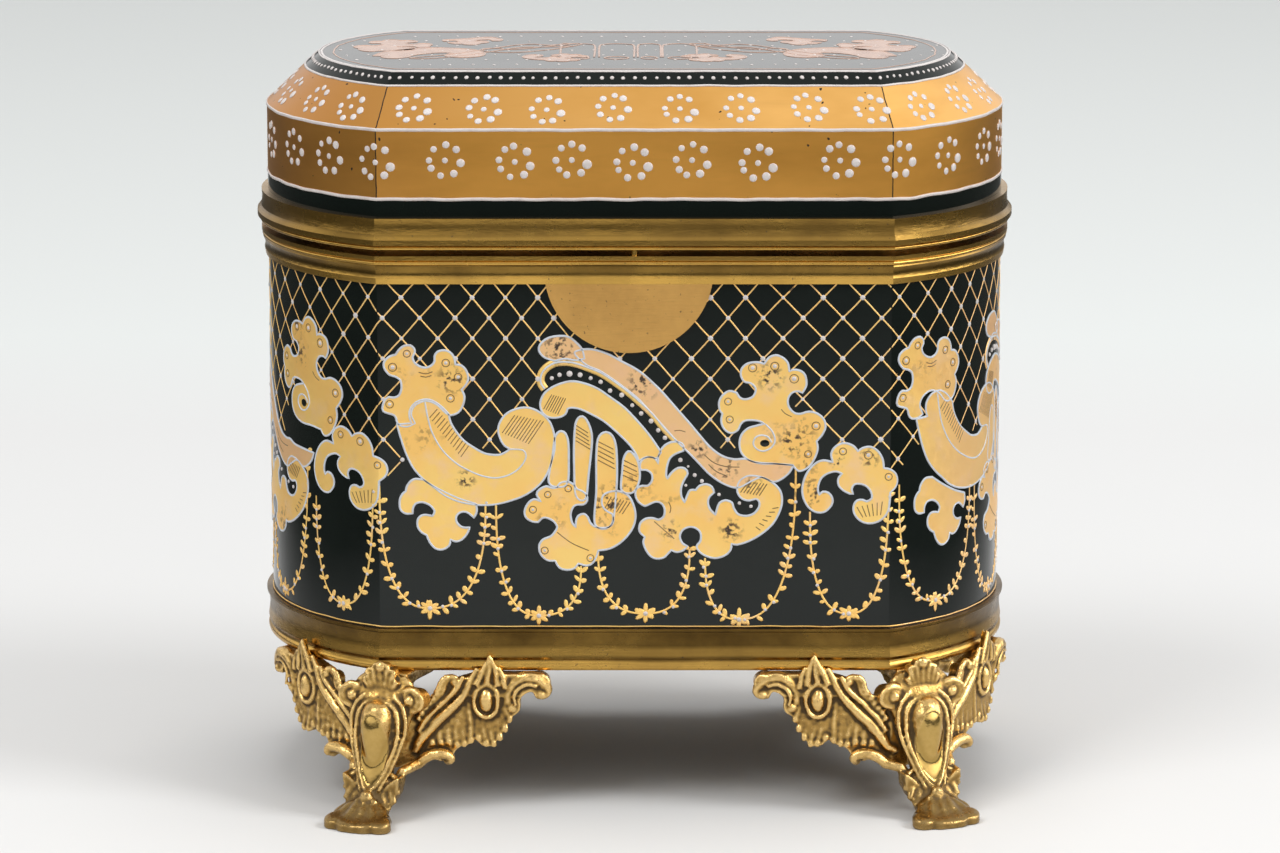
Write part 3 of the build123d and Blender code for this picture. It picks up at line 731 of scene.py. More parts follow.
RIBBON = (
    (-10.8, 85.4), (-8.0, 86.0), (-5.0, 85.2), (-2.4, 83.8), (0.0, 82.5), (1.7, 81.3), (3.3, 79.8),
    (5.0, 78.1), (7.4, 75.3), (9.9, 72.4), (11.8, 70.1), (13.7, 67.9), (15.9, 66.3), (18.1, 65.7),
    (20.0, 65.8), (22.0, 65.2), (25.9, 64.9), (28.7, 64.7, CUSP), (28.0, 63.3), (26.6, 62.1), (25.1, 61.6),
    (23.0, 62.4), (21.0, 61.6), (18.7, 60.5), (16.2, 61.2), (13.7, 62.9), (11.6, 65.1), (9.9, 66.9),
    (8.5, 68.2), (7.2, 69.6), (5.2, 71.9), (2.9, 74.5), (0.7, 76.9), (-1.6, 78.8), (-4.0, 80.6),
    (-6.3, 82.1), (-8.7, 83.2))
PALMETTE = (
    (-14.4, 83.9, CUSP), (-16.3, 84.6), (-17.2, 85.9), (-16.8, 87.1), (-15.6, 88.0), (-13.9, 88.4),
    (-12.0, 88.3), (-10.6, 87.3), (-9.4, 85.9), (-9.0, 84.3, CUSP), (-10.6, 84.0), (-12.5, 84.3))
FLUTES = (
    ((-15.5, 61.5), (-14.9, 66.0), (-14.5, 69.3), (-13.9, 70.6), (-13.2, 70.9), (-12.5, 70.5), (-12.0, 69.0),
     (-11.9, 66.0), (-12.1, 61.5), (-13.6, 60.6)),
    ((-10.6, 59.0), (-10.9, 64.0), (-10.9, 69.0), (-10.6, 72.4), (-9.8, 73.6), (-8.9, 73.3), (-8.0, 71.5),
     (-7.7, 69.0), (-8.3, 63.0), (-8.9, 58.4)),
    ((-7.1, 53.6), (-6.9, 60.0), (-6.9, 66.0), (-6.6, 69.4), (-5.7, 70.6), (-4.6, 70.6), (-3.6, 69.2),
     (-3.2, 66.0), (-3.3, 60.0), (-4.2, 53.6)),
    ((-2.3, 60.0), (-2.2, 63.5), (-1.9, 66.0), (-1.1, 67.2), (-0.2, 66.7), (0.7, 65.0), (0.9, 62.0),
     (-0.3, 59.6)))
VOLUTE_LEAF = (
    (-4.0, 55.6, CUSP), (-5.2, 56.3), (-5.9, 57.5), (-5.7, 59.0), (-4.5, 59.7), (-2.9, 59.8), (-1.4, 59.2),
    (-0.5, 58.0), (0.1, 56.1), (0.1, 54.4), (-0.5, 52.7), (-1.7, 51.1), (-3.1, 49.9), (-4.7, 49.1),
    (-6.6, 48.8, CUSP), (-6.9, 47.7), (-7.6, 46.5), (-8.7, 46.0), (-10.2, 46.4, CUSP), (-10.9, 45.5),
    (-12.2, 45.2), (-13.6, 45.6), (-14.4, 46.9, CUSP), (-15.8, 47.0), (-17.0, 48.1), (-17.3, 49.6),
    (-16.6, 50.8), (-15.2, 51.4), (-14.4, 52.3), (-14.0, 53.2), (-14.6, 54.2), (-15.6, 54.8), (-16.6, 54.9),
    (-17.5, 54.1, CUSP), (-18.5, 54.2), (-19.6, 54.9), (-19.9, 56.1), (-19.3, 57.5), (-18.2, 58.3),
    (-16.9, 57.9, CUSP), (-17.7, 59.2), (-17.2, 60.1), (-16.0, 60.7), (-14.9, 60.4), (-14.0, 60.5, CUSP),
    (-13.5, 61.3), (-12.3, 61.6), (-11.1, 61.1), (-10.4, 60.2, CUSP), (-9.4, 59.8), (-8.7, 59.1),
    (-8.6, 58.1), (-9.2, 57.4), (-10.6, 57.3), (-11.3, 56.6), (-11.6, 55.4), (-11.3, 53.9),
    (-10.6, 53.1, CUSP), (-10.6, 54.2), (-10.2, 55.2), (-9.2, 55.6), (-8.5, 55.0), (-8.0, 53.9),
    (-7.1, 53.2), (-5.7, 53.0), (-4.4, 53.3), (-3.8, 54.3))
TASSEL = (
    (4.3, 64.9, CUSP), (4.4, 66.6), (5.3, 68.1), (6.7, 68.9), (8.2, 68.9), (8.9, 68.3), (8.8, 67.3, CUSP),
    (7.7, 66.9), (6.5, 66.1), (5.9, 64.6), (5.7, 62.8), (6.0, 62.1, CUSP), (6.7, 63.2), (7.9, 64.1),
    (9.1, 64.0), (9.6, 63.1), (8.9, 61.8), (8.4, 60.3), (8.5, 58.8), (9.1, 57.7, CUSP), (9.6, 59.1),
    (10.1, 60.0), (11.1, 60.0, CUSP), (11.8, 60.8), (13.0, 61.1), (14.0, 60.6), (14.4, 59.6, CUSP),
    (13.5, 58.7), (13.3, 57.6), (13.7, 56.4), (14.7, 55.4, CUSP), (15.0, 56.6), (15.4, 57.6), (16.4, 58.1),
    (17.6, 57.7), (18.0, 56.6), (18.8, 55.5), (20.3, 55.2), (21.7, 55.7), (22.6, 56.9), (22.6, 57.9),
    (22.0, 58.4), (20.8, 58.1), (19.6, 58.4), (18.8, 59.3), (18.6, 60.6), (19.1, 61.8), (20.3, 62.6),
    (21.7, 62.7), (23.4, 62.3), (25.1, 61.3), (26.4, 59.8), (26.7, 57.8), (26.1, 55.6), (24.9, 53.6),
    (23.0, 51.9), (20.8, 50.6), (18.6, 49.9), (17.6, 50.1, CUSP), (17.4, 48.9), (16.4, 47.9), (14.7, 47.4),
    (13.0, 47.8), (11.8, 48.6), (11.3, 49.6), (12.0, 50.6), (12.0, 52.1), (11.1, 53.0), (9.9, 53.2),
    (8.7, 52.6), (8.2, 51.4), (8.7, 50.1), (9.6, 49.6, CUSP), (8.9, 48.9), (7.7, 48.5), (6.7, 48.9, CUSP),
    (6.2, 48.4), (5.3, 47.5), (4.0, 47.3), (3.0, 47.7), (2.1, 48.9), (1.6, 50.4), (1.9, 51.3, CUSP),
    (0.9, 52.4), (1.1, 53.9), (2.1, 54.7), (3.3, 54.8), (4.4, 54.5), (5.3, 55.1), (5.5, 56.4), (5.0, 57.5),
    (4.0, 57.9), (2.8, 57.5), (1.9, 57.1), (0.7, 57.9), (0.2, 59.1), (0.4, 60.3), (1.4, 60.8), (2.4, 60.8),
    (3.2, 61.8), (3.1, 63.1), (2.1, 63.8), (1.2, 63.8), (1.0, 64.8), (1.6, 65.8), (2.8, 66.2), (3.8, 65.8))
SPIRAL_LEAF = (
    (28.7, 64.6, CUSP), (29.7, 63.6), (31.2, 64.1), (32.4, 65.6), (33.1, 67.6), (32.9, 69.1, CUSP),
    (33.9, 70.3), (34.5, 71.8), (34.1, 73.2), (32.9, 74.2), (31.4, 74.5), (30.0, 74.1), (28.8, 74.3),
    (27.8, 75.5), (27.7, 77.0), (28.5, 78.1), (29.7, 78.3), (30.3, 78.0, CUSP), (31.0, 79.5), (30.7, 81.3),
    (29.7, 82.1), (28.5, 82.2), (27.9, 81.9, CUSP), (27.6, 83.5), (26.6, 84.5), (25.4, 84.9), (24.2, 84.4),
    (23.4, 83.3, CUSP), (22.2, 83.6), (20.5, 83.4), (19.4, 82.5), (19.2, 81.3), (19.8, 80.1), (21.0, 79.8),
    (21.9, 78.8), (21.5, 77.4), (20.3, 76.8), (19.1, 77.0), (18.4, 78.0, CUSP), (17.1, 78.3), (15.9, 77.5),
    (15.3, 76.3), (15.4, 74.9), (15.9, 74.2, CUSP), (15.7, 72.8), (16.2, 71.4), (17.4, 70.6), (18.6, 71.1),
    (19.2, 72.3), (20.0, 72.9), (21.3, 73.0), (22.6, 72.8), (23.6, 72.3, CUSP), (22.0, 71.9), (20.5, 71.4),
    (19.4, 70.3), (19.0, 68.8), (19.3, 67.1), (20.3, 65.9), (21.7, 65.2), (23.4, 64.9), (25.9, 64.9))
SPIRAL_LINE = (
    (23.7, 72.2), (24.9, 70.9), (25.4, 69.3), (24.9, 68.1), (23.6, 67.3), (22.3, 67.5), (21.5, 68.5),
    (21.8, 69.7), (22.9, 70.2), (24.1, 69.9), (24.8, 68.9))
CLASP = (
    (35.9, 65.2, CUSP), (34.1, 65.5), (32.7, 64.9), (31.5, 63.6), (30.7, 61.9), (30.4, 59.9), (30.8, 58.1),
    (31.8, 56.6), (33.2, 55.9), (34.6, 56.1), (35.7, 57.3), (35.8, 58.5), (35.1, 59.5), (34.1, 59.7),
    (33.5, 59.1, CUSP), (33.2, 59.9), (33.3, 61.1), (33.9, 62.4), (35.1, 63.2), (36.5, 63.5),
    (37.6, 63.1, CUSP), (36.9, 62.1), (37.0, 60.9), (37.8, 60.0), (39.0, 59.4), (39.6, 59.3, CUSP),
    (39.3, 60.2), (39.8, 61.1), (40.9, 61.2), (42.1, 60.7), (42.9, 59.6), (43.0, 58.5), (42.1, 57.9),
    (41.3, 58.2), (40.4, 58.1), (39.8, 57.4), (39.7, 56.3), (40.2, 55.1), (41.4, 54.1), (43.1, 53.9),
    (44.8, 54.6), (45.9, 56.1), (46.2, 58.0), (46.3, 59.6, CUSP), (47.4, 60.5), (47.8, 61.7), (47.4, 62.9),
    (46.3, 63.8), (45.1, 64.1, CUSP), (44.9, 65.6), (44.1, 67.1), (42.7, 68.0), (41.3, 67.8),
    (40.4, 67.2, CUSP), (39.5, 68.2), (37.9, 68.7), (36.4, 68.1), (35.6, 66.8))

# Dots of enamel among the motifs: along, height, diameter
CHANNEL_DOTS = (
    (-14.9, 80.7, 0.8), (-13.5, 81.3, 0.9), (-11.7, 81.5, 1.2), (-9.8, 81.3, 1.0), (-7.9, 80.7, 0.8),
    (-6.1, 80.0, 0.9), (-4.4, 78.4, 0.9), (-2.3, 77.6, 1.0), (-0.4, 75.7, 0.8), (1.2, 74.2, 0.9),
    (3.0, 72.8, 1.0), (4.3, 71.1, 0.9), (5.5, 69.7, 0.9), (8.3, 65.6, 0.9), (9.7, 64.4, 0.5),
    (10.9, 62.8, 0.8), (12.2, 61.7, 0.8), (9.3, 60.9, 0.6), (15.3, 59.2, 0.7), (19.0, 57.6, 0.7),
    (21.1, 57.0, 0.7))
LOBE_DOTS = {
    "shell": ((-44.2, 75.9, 0.7), (-43.6, 82.7, 0.8), (-41.0, 85.2, 0.6), (-34.0, 83.5, 0.7),
              (-31.8, 80.9, 0.7), (-33.2, 77.0, 0.7)),
    "volute_leaf": ((-15.7, 59.2, 0.5), (-12.0, 60.3, 0.5), (-18.4, 56.4, 0.6), (-16.3, 48.8, 0.6),
                    (-8.0, 47.4, 0.6)),
    "spiral_leaf": ((21.3, 82.6, 0.8), (25.3, 82.9, 0.8), (28.8, 80.6, 0.9), (16.9, 76.4, 0.6),
                    (17.2, 73.1, 0.6), (32.8, 71.9, 0.8), (31.4, 66.7, 0.6)),
    "clasp": ((37.7, 67.2, 0.6), (42.3, 66.5, 0.8), (46.0, 62.5, 0.6))}

# The bare eye of the spiral leaf: place, length and width
EYE = (22.3, 68.7, 2.5, 1.9)

# Hatching inside the scrolls: motif, from and to points of the first and the last stroke, and how many
HATCHING = (
    ("scroll_bar", (-16.4, 75.0), (-14.9, 77.7), (-13.9, 74.0), (-12.4, 77.0), 7),
    ("horn", (-23.9, 70.6), (-21.6, 73.9), (-19.2, 68.6), (-16.4, 72.8), 10),
    ("horn", (-37.0, 73.4), (-35.6, 75.0), (-31.4, 66.2), (-30.0, 68.2), 13),
    ("flute", (-10.5, 72.0), (-8.4, 70.6), (-10.6, 69.2), (-8.0, 67.6), 5),
    ("flute", (-6.5, 69.0), (-3.8, 67.6), (-6.6, 65.6), (-3.6, 64.0), 5),
    ("flute", (-2.0, 65.6), (0.4, 64.4), (-2.1, 62.8), (0.5, 61.6), 4),
    ("volute_leaf", (-5.4, 56.6), (-4.2, 58.8), (-2.2, 55.6), (-0.8, 57.8), 7),
    ("tassel", (19.2, 59.6), (20.6, 61.6), (22.6, 59.0), (24.0, 61.2), 7),
    ("tassel", (26.1, 56.8), (25.0, 56.6), (22.8, 52.6), (22.0, 53.2), 6),
    ("clasp", (40.3, 56.9), (41.4, 55.0), (44.9, 57.9), (44.6, 55.4), 6))
ETCHED_LINES = (
    ("shell", ((-38.9, 81.8), (-37.6, 81.5), (-36.4, 81.9))),
    ("shell", ((-38.6, 81.1), (-37.6, 80.9), (-36.6, 81.2))),
    ("volute_leaf", ((-14.0, 52.2), (-11.4, 50.2), (-8.3, 48.8))),
    ("tassel", ((6.2, 57.8), (6.6, 56.8), (6.4, 55.8))),
    ("tassel", ((3.6, 54.2), (5.4, 52.6), (7.2, 51.0))),
    ("spiral_leaf", ((26.5, 75.0), (27.2, 74.2), (28.4, 73.6))),
    ("ribbon", ((7.2, 71.0), (8.2, 71.1), (9.2, 70.8))),
    ("ribbon", ((12.6, 66.6), (14.4, 65.1), (16.6, 64.4), (19.0, 64.3))),
    ("ribbon", ((13.4, 64.8), (14.8, 63.5), (16.6, 62.7))))

# Garlands: top left, bottom and top right of each, along and height
GARLANDS = (
    ((-46.2, 60.8), (-37.2, 38.0), (-27.0, 57.6)), ((-25.1, 57.4), (-17.4, 36.6), (-9.7, 45.9)),
    ((-6.6, 48.5), (2.0, 37.0), (10.0, 49.0)), ((12.8, 47.4), (19.0, 35.9), (29.2, 64.0)),
    ((31.8, 56.0), (39.0, 37.0), (46.0, 59.0)))

# How many points lie on each side of a garland's bottom, and its leaves' pitch and its flower's petals
GARLAND_HALF = 20
LEAF_PITCH = 1.5
FLOWER_PETALS = 6
GARLAND_SEED = 5

# Gilt motifs from the lowest layer up
MOTIFS = (
    *((f"flute_{number}", points) for number, points in enumerate(FLUTES)),
    ("sprig", SPRIG), ("shell", SHELL), ("volute_leaf", VOLUTE_LEAF), ("tassel", TASSEL), ("clasp", CLASP),
    ("spiral_leaf", SPIRAL_LEAF), ("palmette", PALMETTE), ("ribbon", RIBBON), ("scroll_bar", SCROLL_BAR),
    ("horn", HORN))

# Motifs whose gilding is rubbed to a pinkish tone
RUBBED = ("ribbon", "palmette")

# Motifs of the lid's top: outline, its centre, its place on the top, its scale, and whether it is filled
TOP_MOTIFS = (
    (SCROLL_BAR, (-6.0, 73.0), (19.0, 3.0), -0.85, False),
    (RIBBON, (8.0, 74.0), (27.0, -2.0), -0.75, False),
    (HORN, (-29.0, 66.0), (38.0, -3.0), -0.72, True),
    (SPIRAL_LEAF, (25.0, 74.0), (45.0, 6.0), 0.75, True),
    (SPRIG, (-36.0, 55.0), (30.0, 12.0), 0.8, True),
    (VOLUTE_LEAF, (-9.0, 54.0), (15.0, -9.5), 0.6, True))

# Arches in the middle of the top: their middles and half widths
TOP_ARCHES = ((-10.5, 3.1), (-3.3, 3.2), (2.7, 2.1), (8.3, 3.1))

# How far motifs of the bows were painted from their place: along, up
LEFT_DRIFT = {"spiral_leaf": (2.2, 4.9), "clasp": (-1.5, 2.1), "garlands": (-2.6, 0.8)}
RIGHT_DRIFT = {"shell": (2.0, 0.9), "horn": (3.8, 0.3), "sprig": (3.2, -0.8), "garlands": (3.4, 0.0)}

# Middles of the rosettes round the front half, and the petals of one: degrees, share of a dot's size
BELT_ROSETTES = (-79.8, -67.9, -57.1, -46.4, -33.9, -21.4, -11.2, -0.3, 10.3, 22.1, 36.8, 47.7, 59.3, 71.6,
                 82.0)
BEVEL_ROSETTES = (-89.5, -78.1, -65.0, -53.7, -40.3, -27.5, -16.0, -3.9, 8.3, 19.5, 31.9, 43.3, 54.6, 66.9,
                  79.0)
PETALS = ((90, 0.92), (45, 1.0), (-12, 1.16), (-58, 1.05), (-105, 0.9), (-148, 0.85), (176, 0.85),
          (130, 0.88))

# The lattice: columns round the body, rise from crossing to crossing, height of one row of crossings,
# top, and how far below one another and how many the points of a line are
LATTICE_COLUMNS = 56
LATTICE_RISE = 7.45
LATTICE_LEVEL = 88.0
LATTICE_TOP = 98.4
LATTICE_STEP = 0.85
LATTICE_STEPS = 48
LATTICE_ROWS = range(-2, 11)
LATTICE_SEED = 3

# Lower edge of the lattice round one quarter, along and height
LATTICE_EDGE = (
    (-45.5, 62.5), (-42.5, 60.5), (-41.5, 67.0), (-33.0, 68.0), (-25.0, 66.5), (-20.0, 69.0), (-17.5, 76.0),
    (-17.2, 84.5), (-10.0, 86.0), (0.0, 82.0), (8.0, 74.8), (14.0, 67.8), (18.0, 66.5), (21.0, 75.5),
    (30.0, 75.0), (34.0, 69.2), (37.5, 66.0), (43.0, 66.0), (45.2, 64.0))


def between(line, along):
    """Height of a line of points at one distance along."""
    for (a, low), (b, high) in zip(line, line[1:]):
        if a <= along <= b:
            return low + (high - low) * (along - a) / (b - a)
    return line[-1][1]


def lattice_floor(along):
    """Lowest height of the lattice at a distance along the glass."""
    return between(LATTICE_EDGE, (along + QUARTER / 2) % QUARTER - QUARTER / 2)


def drifting(along):
    """Where the lattice's painter came to, for a place on an even pitch."""
    place = (along + LAP / 2) % LAP - LAP / 2
    slip = clamp((place - 17.0) / 9, (150.0 - place) / 30)
    bow = 2 * (QUARTER - FLAT_HALF_LENGTH)
    share = clamp((0.0 - FLAT_HALF_LENGTH - place) / bow)
    wave = 1.6 * cos(2 * pi * (along + 38.0) / QUARTER)
    return along - 1.25 + wave - 1.15 * slip + 0.25 * bow * share * (1 - share)


def motif_outlines():
    """The outline of each motif on each quarter of the body and on a second lap, with its bounds."""
    outlines = []
    for name, points in MOTIFS:
        for shift in shifts_of(name):
            for lap in (0.0, LAP):
                line = [(x + shift[0] + lap, y + shift[1]) for x, y in smooth(points, True)]
                across, heights = [x for x, _ in line], [y for _, y in line]
                outlines.append((line, (min(across), max(across), min(heights), max(heights))))
    return outlines


def covered(outlines, along, up):
    """Whether a place lies inside one of some closed outlines."""
    for outline, (left, right, low, high) in outlines:
        if not (left < along < right and low < up < high):
            continue
        inside = False
        for (x, y), (next_x, next_y) in zip(outline, outline[1:] + outline[:1]):
            if (y > up) != (next_y > up) and along < x + (up - y) * (next_x - x) / (next_y - y):
                inside = not inside
        if inside:
            return True
    return False


def shifts_of(name):
    """How far a motif is moved to each quarter of the outline: along, up."""
    left = LEFT_DRIFT.get(name, (0.0, 0.0))
    right = RIGHT_DRIFT.get(name, (0.0, 0.0))
    return ((0.0, 0.0), (QUARTER + right[0], right[1]), (2 * QUARTER, 0.0),
            (left[0] - QUARTER, left[1]))


def garland(left, low, right):
    """Line of one garland, hung from left and right with a round bottom and steep arms."""
    line = []
    for index in range(-GARLAND_HALF, GARLAND_HALF + 1):
        turn = abs(index) / GARLAND_HALF * pi / 2
        top = right if index > 0 else left
        line.append(Vector((low[0] + sin(turn) ** 0.8 * (top[0] - low[0]),
                            low[1] + (1 - max(0.0, cos(turn)) ** 0.8) * (top[1] - low[1]))))
    return line


def ring(across, up, half_width, half_height, count):
    """Points of an ellipse."""
    return [(across + half_width * cos(2 * pi * k / count), up + half_height * sin(2 * pi * k / count))
            for k in range(count)]


# ---------------------------------------------------------------- stage

TABLE_HALF = 4.0

# Lamps: name, place, the point that it faces, size and power
LAMPS = (("key", (-0.8, -0.8, 1.4), (0.0, 0.0, 0.06), 0.7, 11.0),
         ("fill", (1.1, -0.45, 1.0), (0.0, 0.0, 0.07), 0.5, 10.0),
         ("top", (0.1, 0.3, 1.9), (0.0, 0.0, 0.08), 0.8, 11.0))

CAMERA_PLACE = (0.001, -1.009, 0.2765)
CAMERA_TILT = radians(90.0 - 11.89)
CAMERA_LENS = 154.7
CAMERA_SENSOR = 36.0


def table_paint(name):
    """Pale cloth, with a painted dark reflection: glossy pieces see it dark to the sides, in front and far
    behind.
    """
    paint = Paint(name)
    x, y, _ = paint.parts(paint.place())
    glossy = paint.node("ShaderNodeLightPath", output="Is Glossy Ray")
    # Painted dark reflection: for glossy rays the cloth is dark to the sides, in front and far behind
    painted_dark_reflection = abs(x).ramp(0.14, 0.26).most((0.0 - y).ramp(0.24, 0.62)).most(y.ramp(0.5, 0.9)) * glossy
    wall = paint.mix(y.ramp(0.30, 0.42), colours().floor, (0.71, 0.73, 0.72))
    return paint.surface({
        "Base Color": paint.mix(painted_dark_reflection, wall, (0.07, 0.07, 0.065)),
        "Roughness": 0.85, "Specular IOR Level": 0.1})


def studio_world(name):
    """A soft sky, and for glossy pieces a dark room, lit overhead, behind and most on the right."""
    paint = Paint(name, "worlds")
    x, y, z = paint.parts(paint.node("ShaderNodeTexCoord", output="Generated"))
    glossy = paint.node("ShaderNodeLightPath", output="Is Glossy Ray")
    overhead = z.ramp(0.45, 0.85) * x.ramp(-0.12, 0.12, 0.62, 1.0)
    room = (z.ramp(0.0, 0.16) * z.ramp(0.35, 0.6, 1.0, 0.0) * x.ramp(-0.8, 0.5, 1.5, 4.0)
            * y.ramp(-0.95, -0.5, 0.4, 1.0) * y.ramp(0.35, 0.75, 1.0, 0.0))
    behind = y.ramp(-0.05, 0.35) * z.ramp(-0.02, 0.06) * 0.92
    mirrored = behind.most(overhead).most(room).most(0.07)
    sky = z.ramp(0.1, 0.7, 0.08, 0.95) * y.ramp(-0.3, 0.5, 1.0, 0.35)
    shade = glossy * mirrored + (1.0 - glossy) * sky
    background = paint.node("ShaderNodeBackground", {"Color": shade, "Strength": 1.0})
    paint.node("ShaderNodeOutputWorld", {"Surface": background})
    return paint.owner


class CASKET_OT_stage(bpy.types.Operator):
    """Floor, light and camera"""

    bl_idname = "casket.stage"
    bl_label = "Stage"

    def execute(self, context):
        bm = bmesh.new()
        bmesh.ops.create_grid(bm, x_segments=1, y_segments=1, size=TABLE_HALF)
        table = bpy.data.objects.new("table", baked(bm, "table"))
        context.scene.collection.objects.link(table)
        table.data.materials.append(table_paint("table"))
        context.scene.world = studio_world("studio")

        for name, place, aim, size, power in LAMPS:
            lamp = bpy.data.lights.new(name, "AREA")
            lamp.shape = "SQUARE"
            lamp.size = size
            lamp.energy = power
            holder = bpy.data.objects.new(name, lamp)
            holder.location = place
            holder.rotation_euler = (Vector(aim) - Vector(place)).to_track_quat("-Z", "Y").to_euler()
            holder.visible_glossy = name != "top"
            context.scene.collection.objects.link(holder)

        camera = bpy.data.cameras.new("camera")
        camera.sensor_width = CAMERA_SENSOR
        camera.lens = CAMERA_LENS
        holder = bpy.data.objects.new("camera", camera)
        holder.location = CAMERA_PLACE
        holder.rotation_euler = (CAMERA_TILT, 0.0, 0.0)
        context.scene.collection.objects.link(holder)
        context.scene.camera = holder
        context.scene.view_settings.view_transform = "Standard"
        return {"FINISHED"}


# ---------------------------------------------------------------- finishes of the CAD pieces

# How bright the gilding is kept at each height of the mouldings, in millimetres: painted shade, with tarnish,
# on the darker members
RIM_TONES = ((97.2, 1.0), (99.0, 1.0), (99.9, 0.22), (101.4, 0.2), (101.8, 1.0), (102.4, 1.0), (102.7, 0.7),
             (103.6, 0.62), (104.3, 0.85), (105.1, 0.85), (105.4, 0.55), (106.7, 0.5), (107.0, 0.3),
             (107.7, 0.28), (108.3, 0.42), (110.2, 0.6))
BAND_TONES = ((26.4, 0.85), (27.9, 0.95), (28.3, 0.2), (28.9, 0.2), (29.4, 0.62), (30.4, 0.55), (31.2, 0.1),
              (33.2, 0.06), (33.7, 0.08), (34.0, 0.12), (34.6, 0.12))
TARNISH = (0.20, 0.115, 0.035)


class CASKET_OT_finishes(bpy.types.Operator):
    """Procedural finishes of the glass, the bronze, the plaster and the steel"""

    bl_idname = "casket.finishes"
    bl_label = "Finishes"

    def execute(self, context):
        bronze = colours().bronze
        pressed = (1.0, 1.0, 4.0)
        dress(finish(BODY_GLASS), "glass_body")
        dress(lid_glass_paint("lid_glass_and_gold"), "glass_lid")
        dress(bronze_paint("rim_bronze", bronze, TARNISH, 0.24, pressed, 0.5, RIM_TONES),
              "body_rim", "lid_rim", "rest_stud")
        dress(bronze_paint("band_bronze", bronze, TARNISH, 0.24, pressed, 0.5, BAND_TONES), "base_band")
        dress(bronze_paint("plate_bronze", (0.70, 0.40, 0.12), (0.36, 0.20, 0.06), 0.42, (1.0, 1.0, 14.0),
                           0.7), "front_plate")
        dress(bronze_paint("inner_bronze", (0.50, 0.33, 0.12), (0.16, 0.10, 0.04), 0.38, (1.0, 1.0, 6.0),
                           0.8),
              "body_rim_collar", "lid_rim_collar", "base_ledge", "hinge_leaf_case", "hinge_leaf_lid",
              "hinge_pin")
        dress(plain_paint("bedding_plaster", (0.62, 0.58, 0.50), (0.46, 0.42, 0.35), 0.8),
              "body_rim_plaster", "lid_rim_plaster", "base_plaster")
        dress(plain_paint("screw_steel", (0.30, 0.29, 0.28), (0.16, 0.14, 0.13), 0.42, 1.0), "foot_screws")
        return {"FINISHED"}


# ---------------------------------------------------------------- the lid's decoration

# White lines round the lid: skin, level, wobble and its seed, share of the width, and height
LID_LINES = (
    (WALL, BELT_FOOT, 0.25, 1.0, 1.0, 0.16), (WALL, BELT_TOP - 0.1, 0.12, 2.0, 1.0, 0.16),
    (BEVEL, BEVEL.slant - 0.25, 0.12, 3.0, 0.8, 0.16), (CROWN, CROWN.slant - 0.1, 0.1, 4.0, 0.6, 0.1))

# Rosettes: piece, skin, level, middles and radius
ROSETTES = (("belt_rosettes", WALL, 120.2, BELT_ROSETTES, 2.85),
            ("bevel_rosettes", BEVEL, 4.7, BEVEL_ROSETTES, 2.75))
CROWN_DOT_PITCH = 2.12
WAVER_STEP = 1.2
LID_SEED = 11

# The top's ornament
TOP_SEED = 23
TOP_LINE = 0.4
TOP_HEIGHT = 0.08


def wavering(level, wobble, seed):
    """A line right round a band from the middle of the back, wavering as if drawn by hand."""
    count = round(LAP / WAVER_STEP)
    line = []
    for index in range(count + 1):
        along = LAP * (index / count - 0.5)
        steady = min(1.0, (2 * QUARTER - abs(along)) / 8)
        waver = noise.noise(Vector((index * 0.23, seed, 0.0)))
        line.append((along, level + wobble * steady * waver))
    return [(line, False)]


class CASKET_OT_lid_enamel(bpy.types.Operator):
    """White enamel lines, rosettes and dots of the lid"""

    bl_idname = "casket.lid_enamel"
    bl_label = "Lid enamel"

    def execute(self, context):
        width = sizes().border_line / MM
        lines = bmesh.new()
        for skin, level, wobble, seed, share, height in LID_LINES:
            line = laid(skin, draw_lines, wavering(level, wobble, seed), width * share, height)
            stamp(lines, baked(line))
        new_piece("lid_enamel_lines", lines, "white_enamel", "lid")

        hand = random.Random(LID_SEED)
        size = sizes().rosette_dot / MM
        for name, skin, level, front, radius in ROSETTES:
            places = []
            for along in [place + turn for turn in (0.0, LAP / 2) for place in front]:
                up = level + hand.uniform(-0.3, 0.3)
                places.append(dot(along, up, size * 0.75, 0.13))
                for degrees, swell in PETALS:
                    angle = radians(degrees + hand.uniform(-6.0, 6.0))
                    places.append(dot(along + radius * cos(angle), up + radius * sin(angle),
                                      size * swell * hand.uniform(0.9, 1.08), 0.13))
            new_piece(name, laid(skin, draw_dots, places, 10, 6), "white_enamel", "lid")

        count = round(LAP / CROWN_DOT_PITCH)
        places = [dot(LAP * index / count + hand.uniform(-0.2, 0.2),
                      CROWN.slant * 0.5 + hand.uniform(-0.1, 0.1),
                      sizes().crown_dot / MM * hand.uniform(0.85, 1.15)) for index in range(count)]
        new_piece("crown_dots", laid(CROWN, draw_dots, places), "white_enamel", "lid")
        return {"FINISHED"}


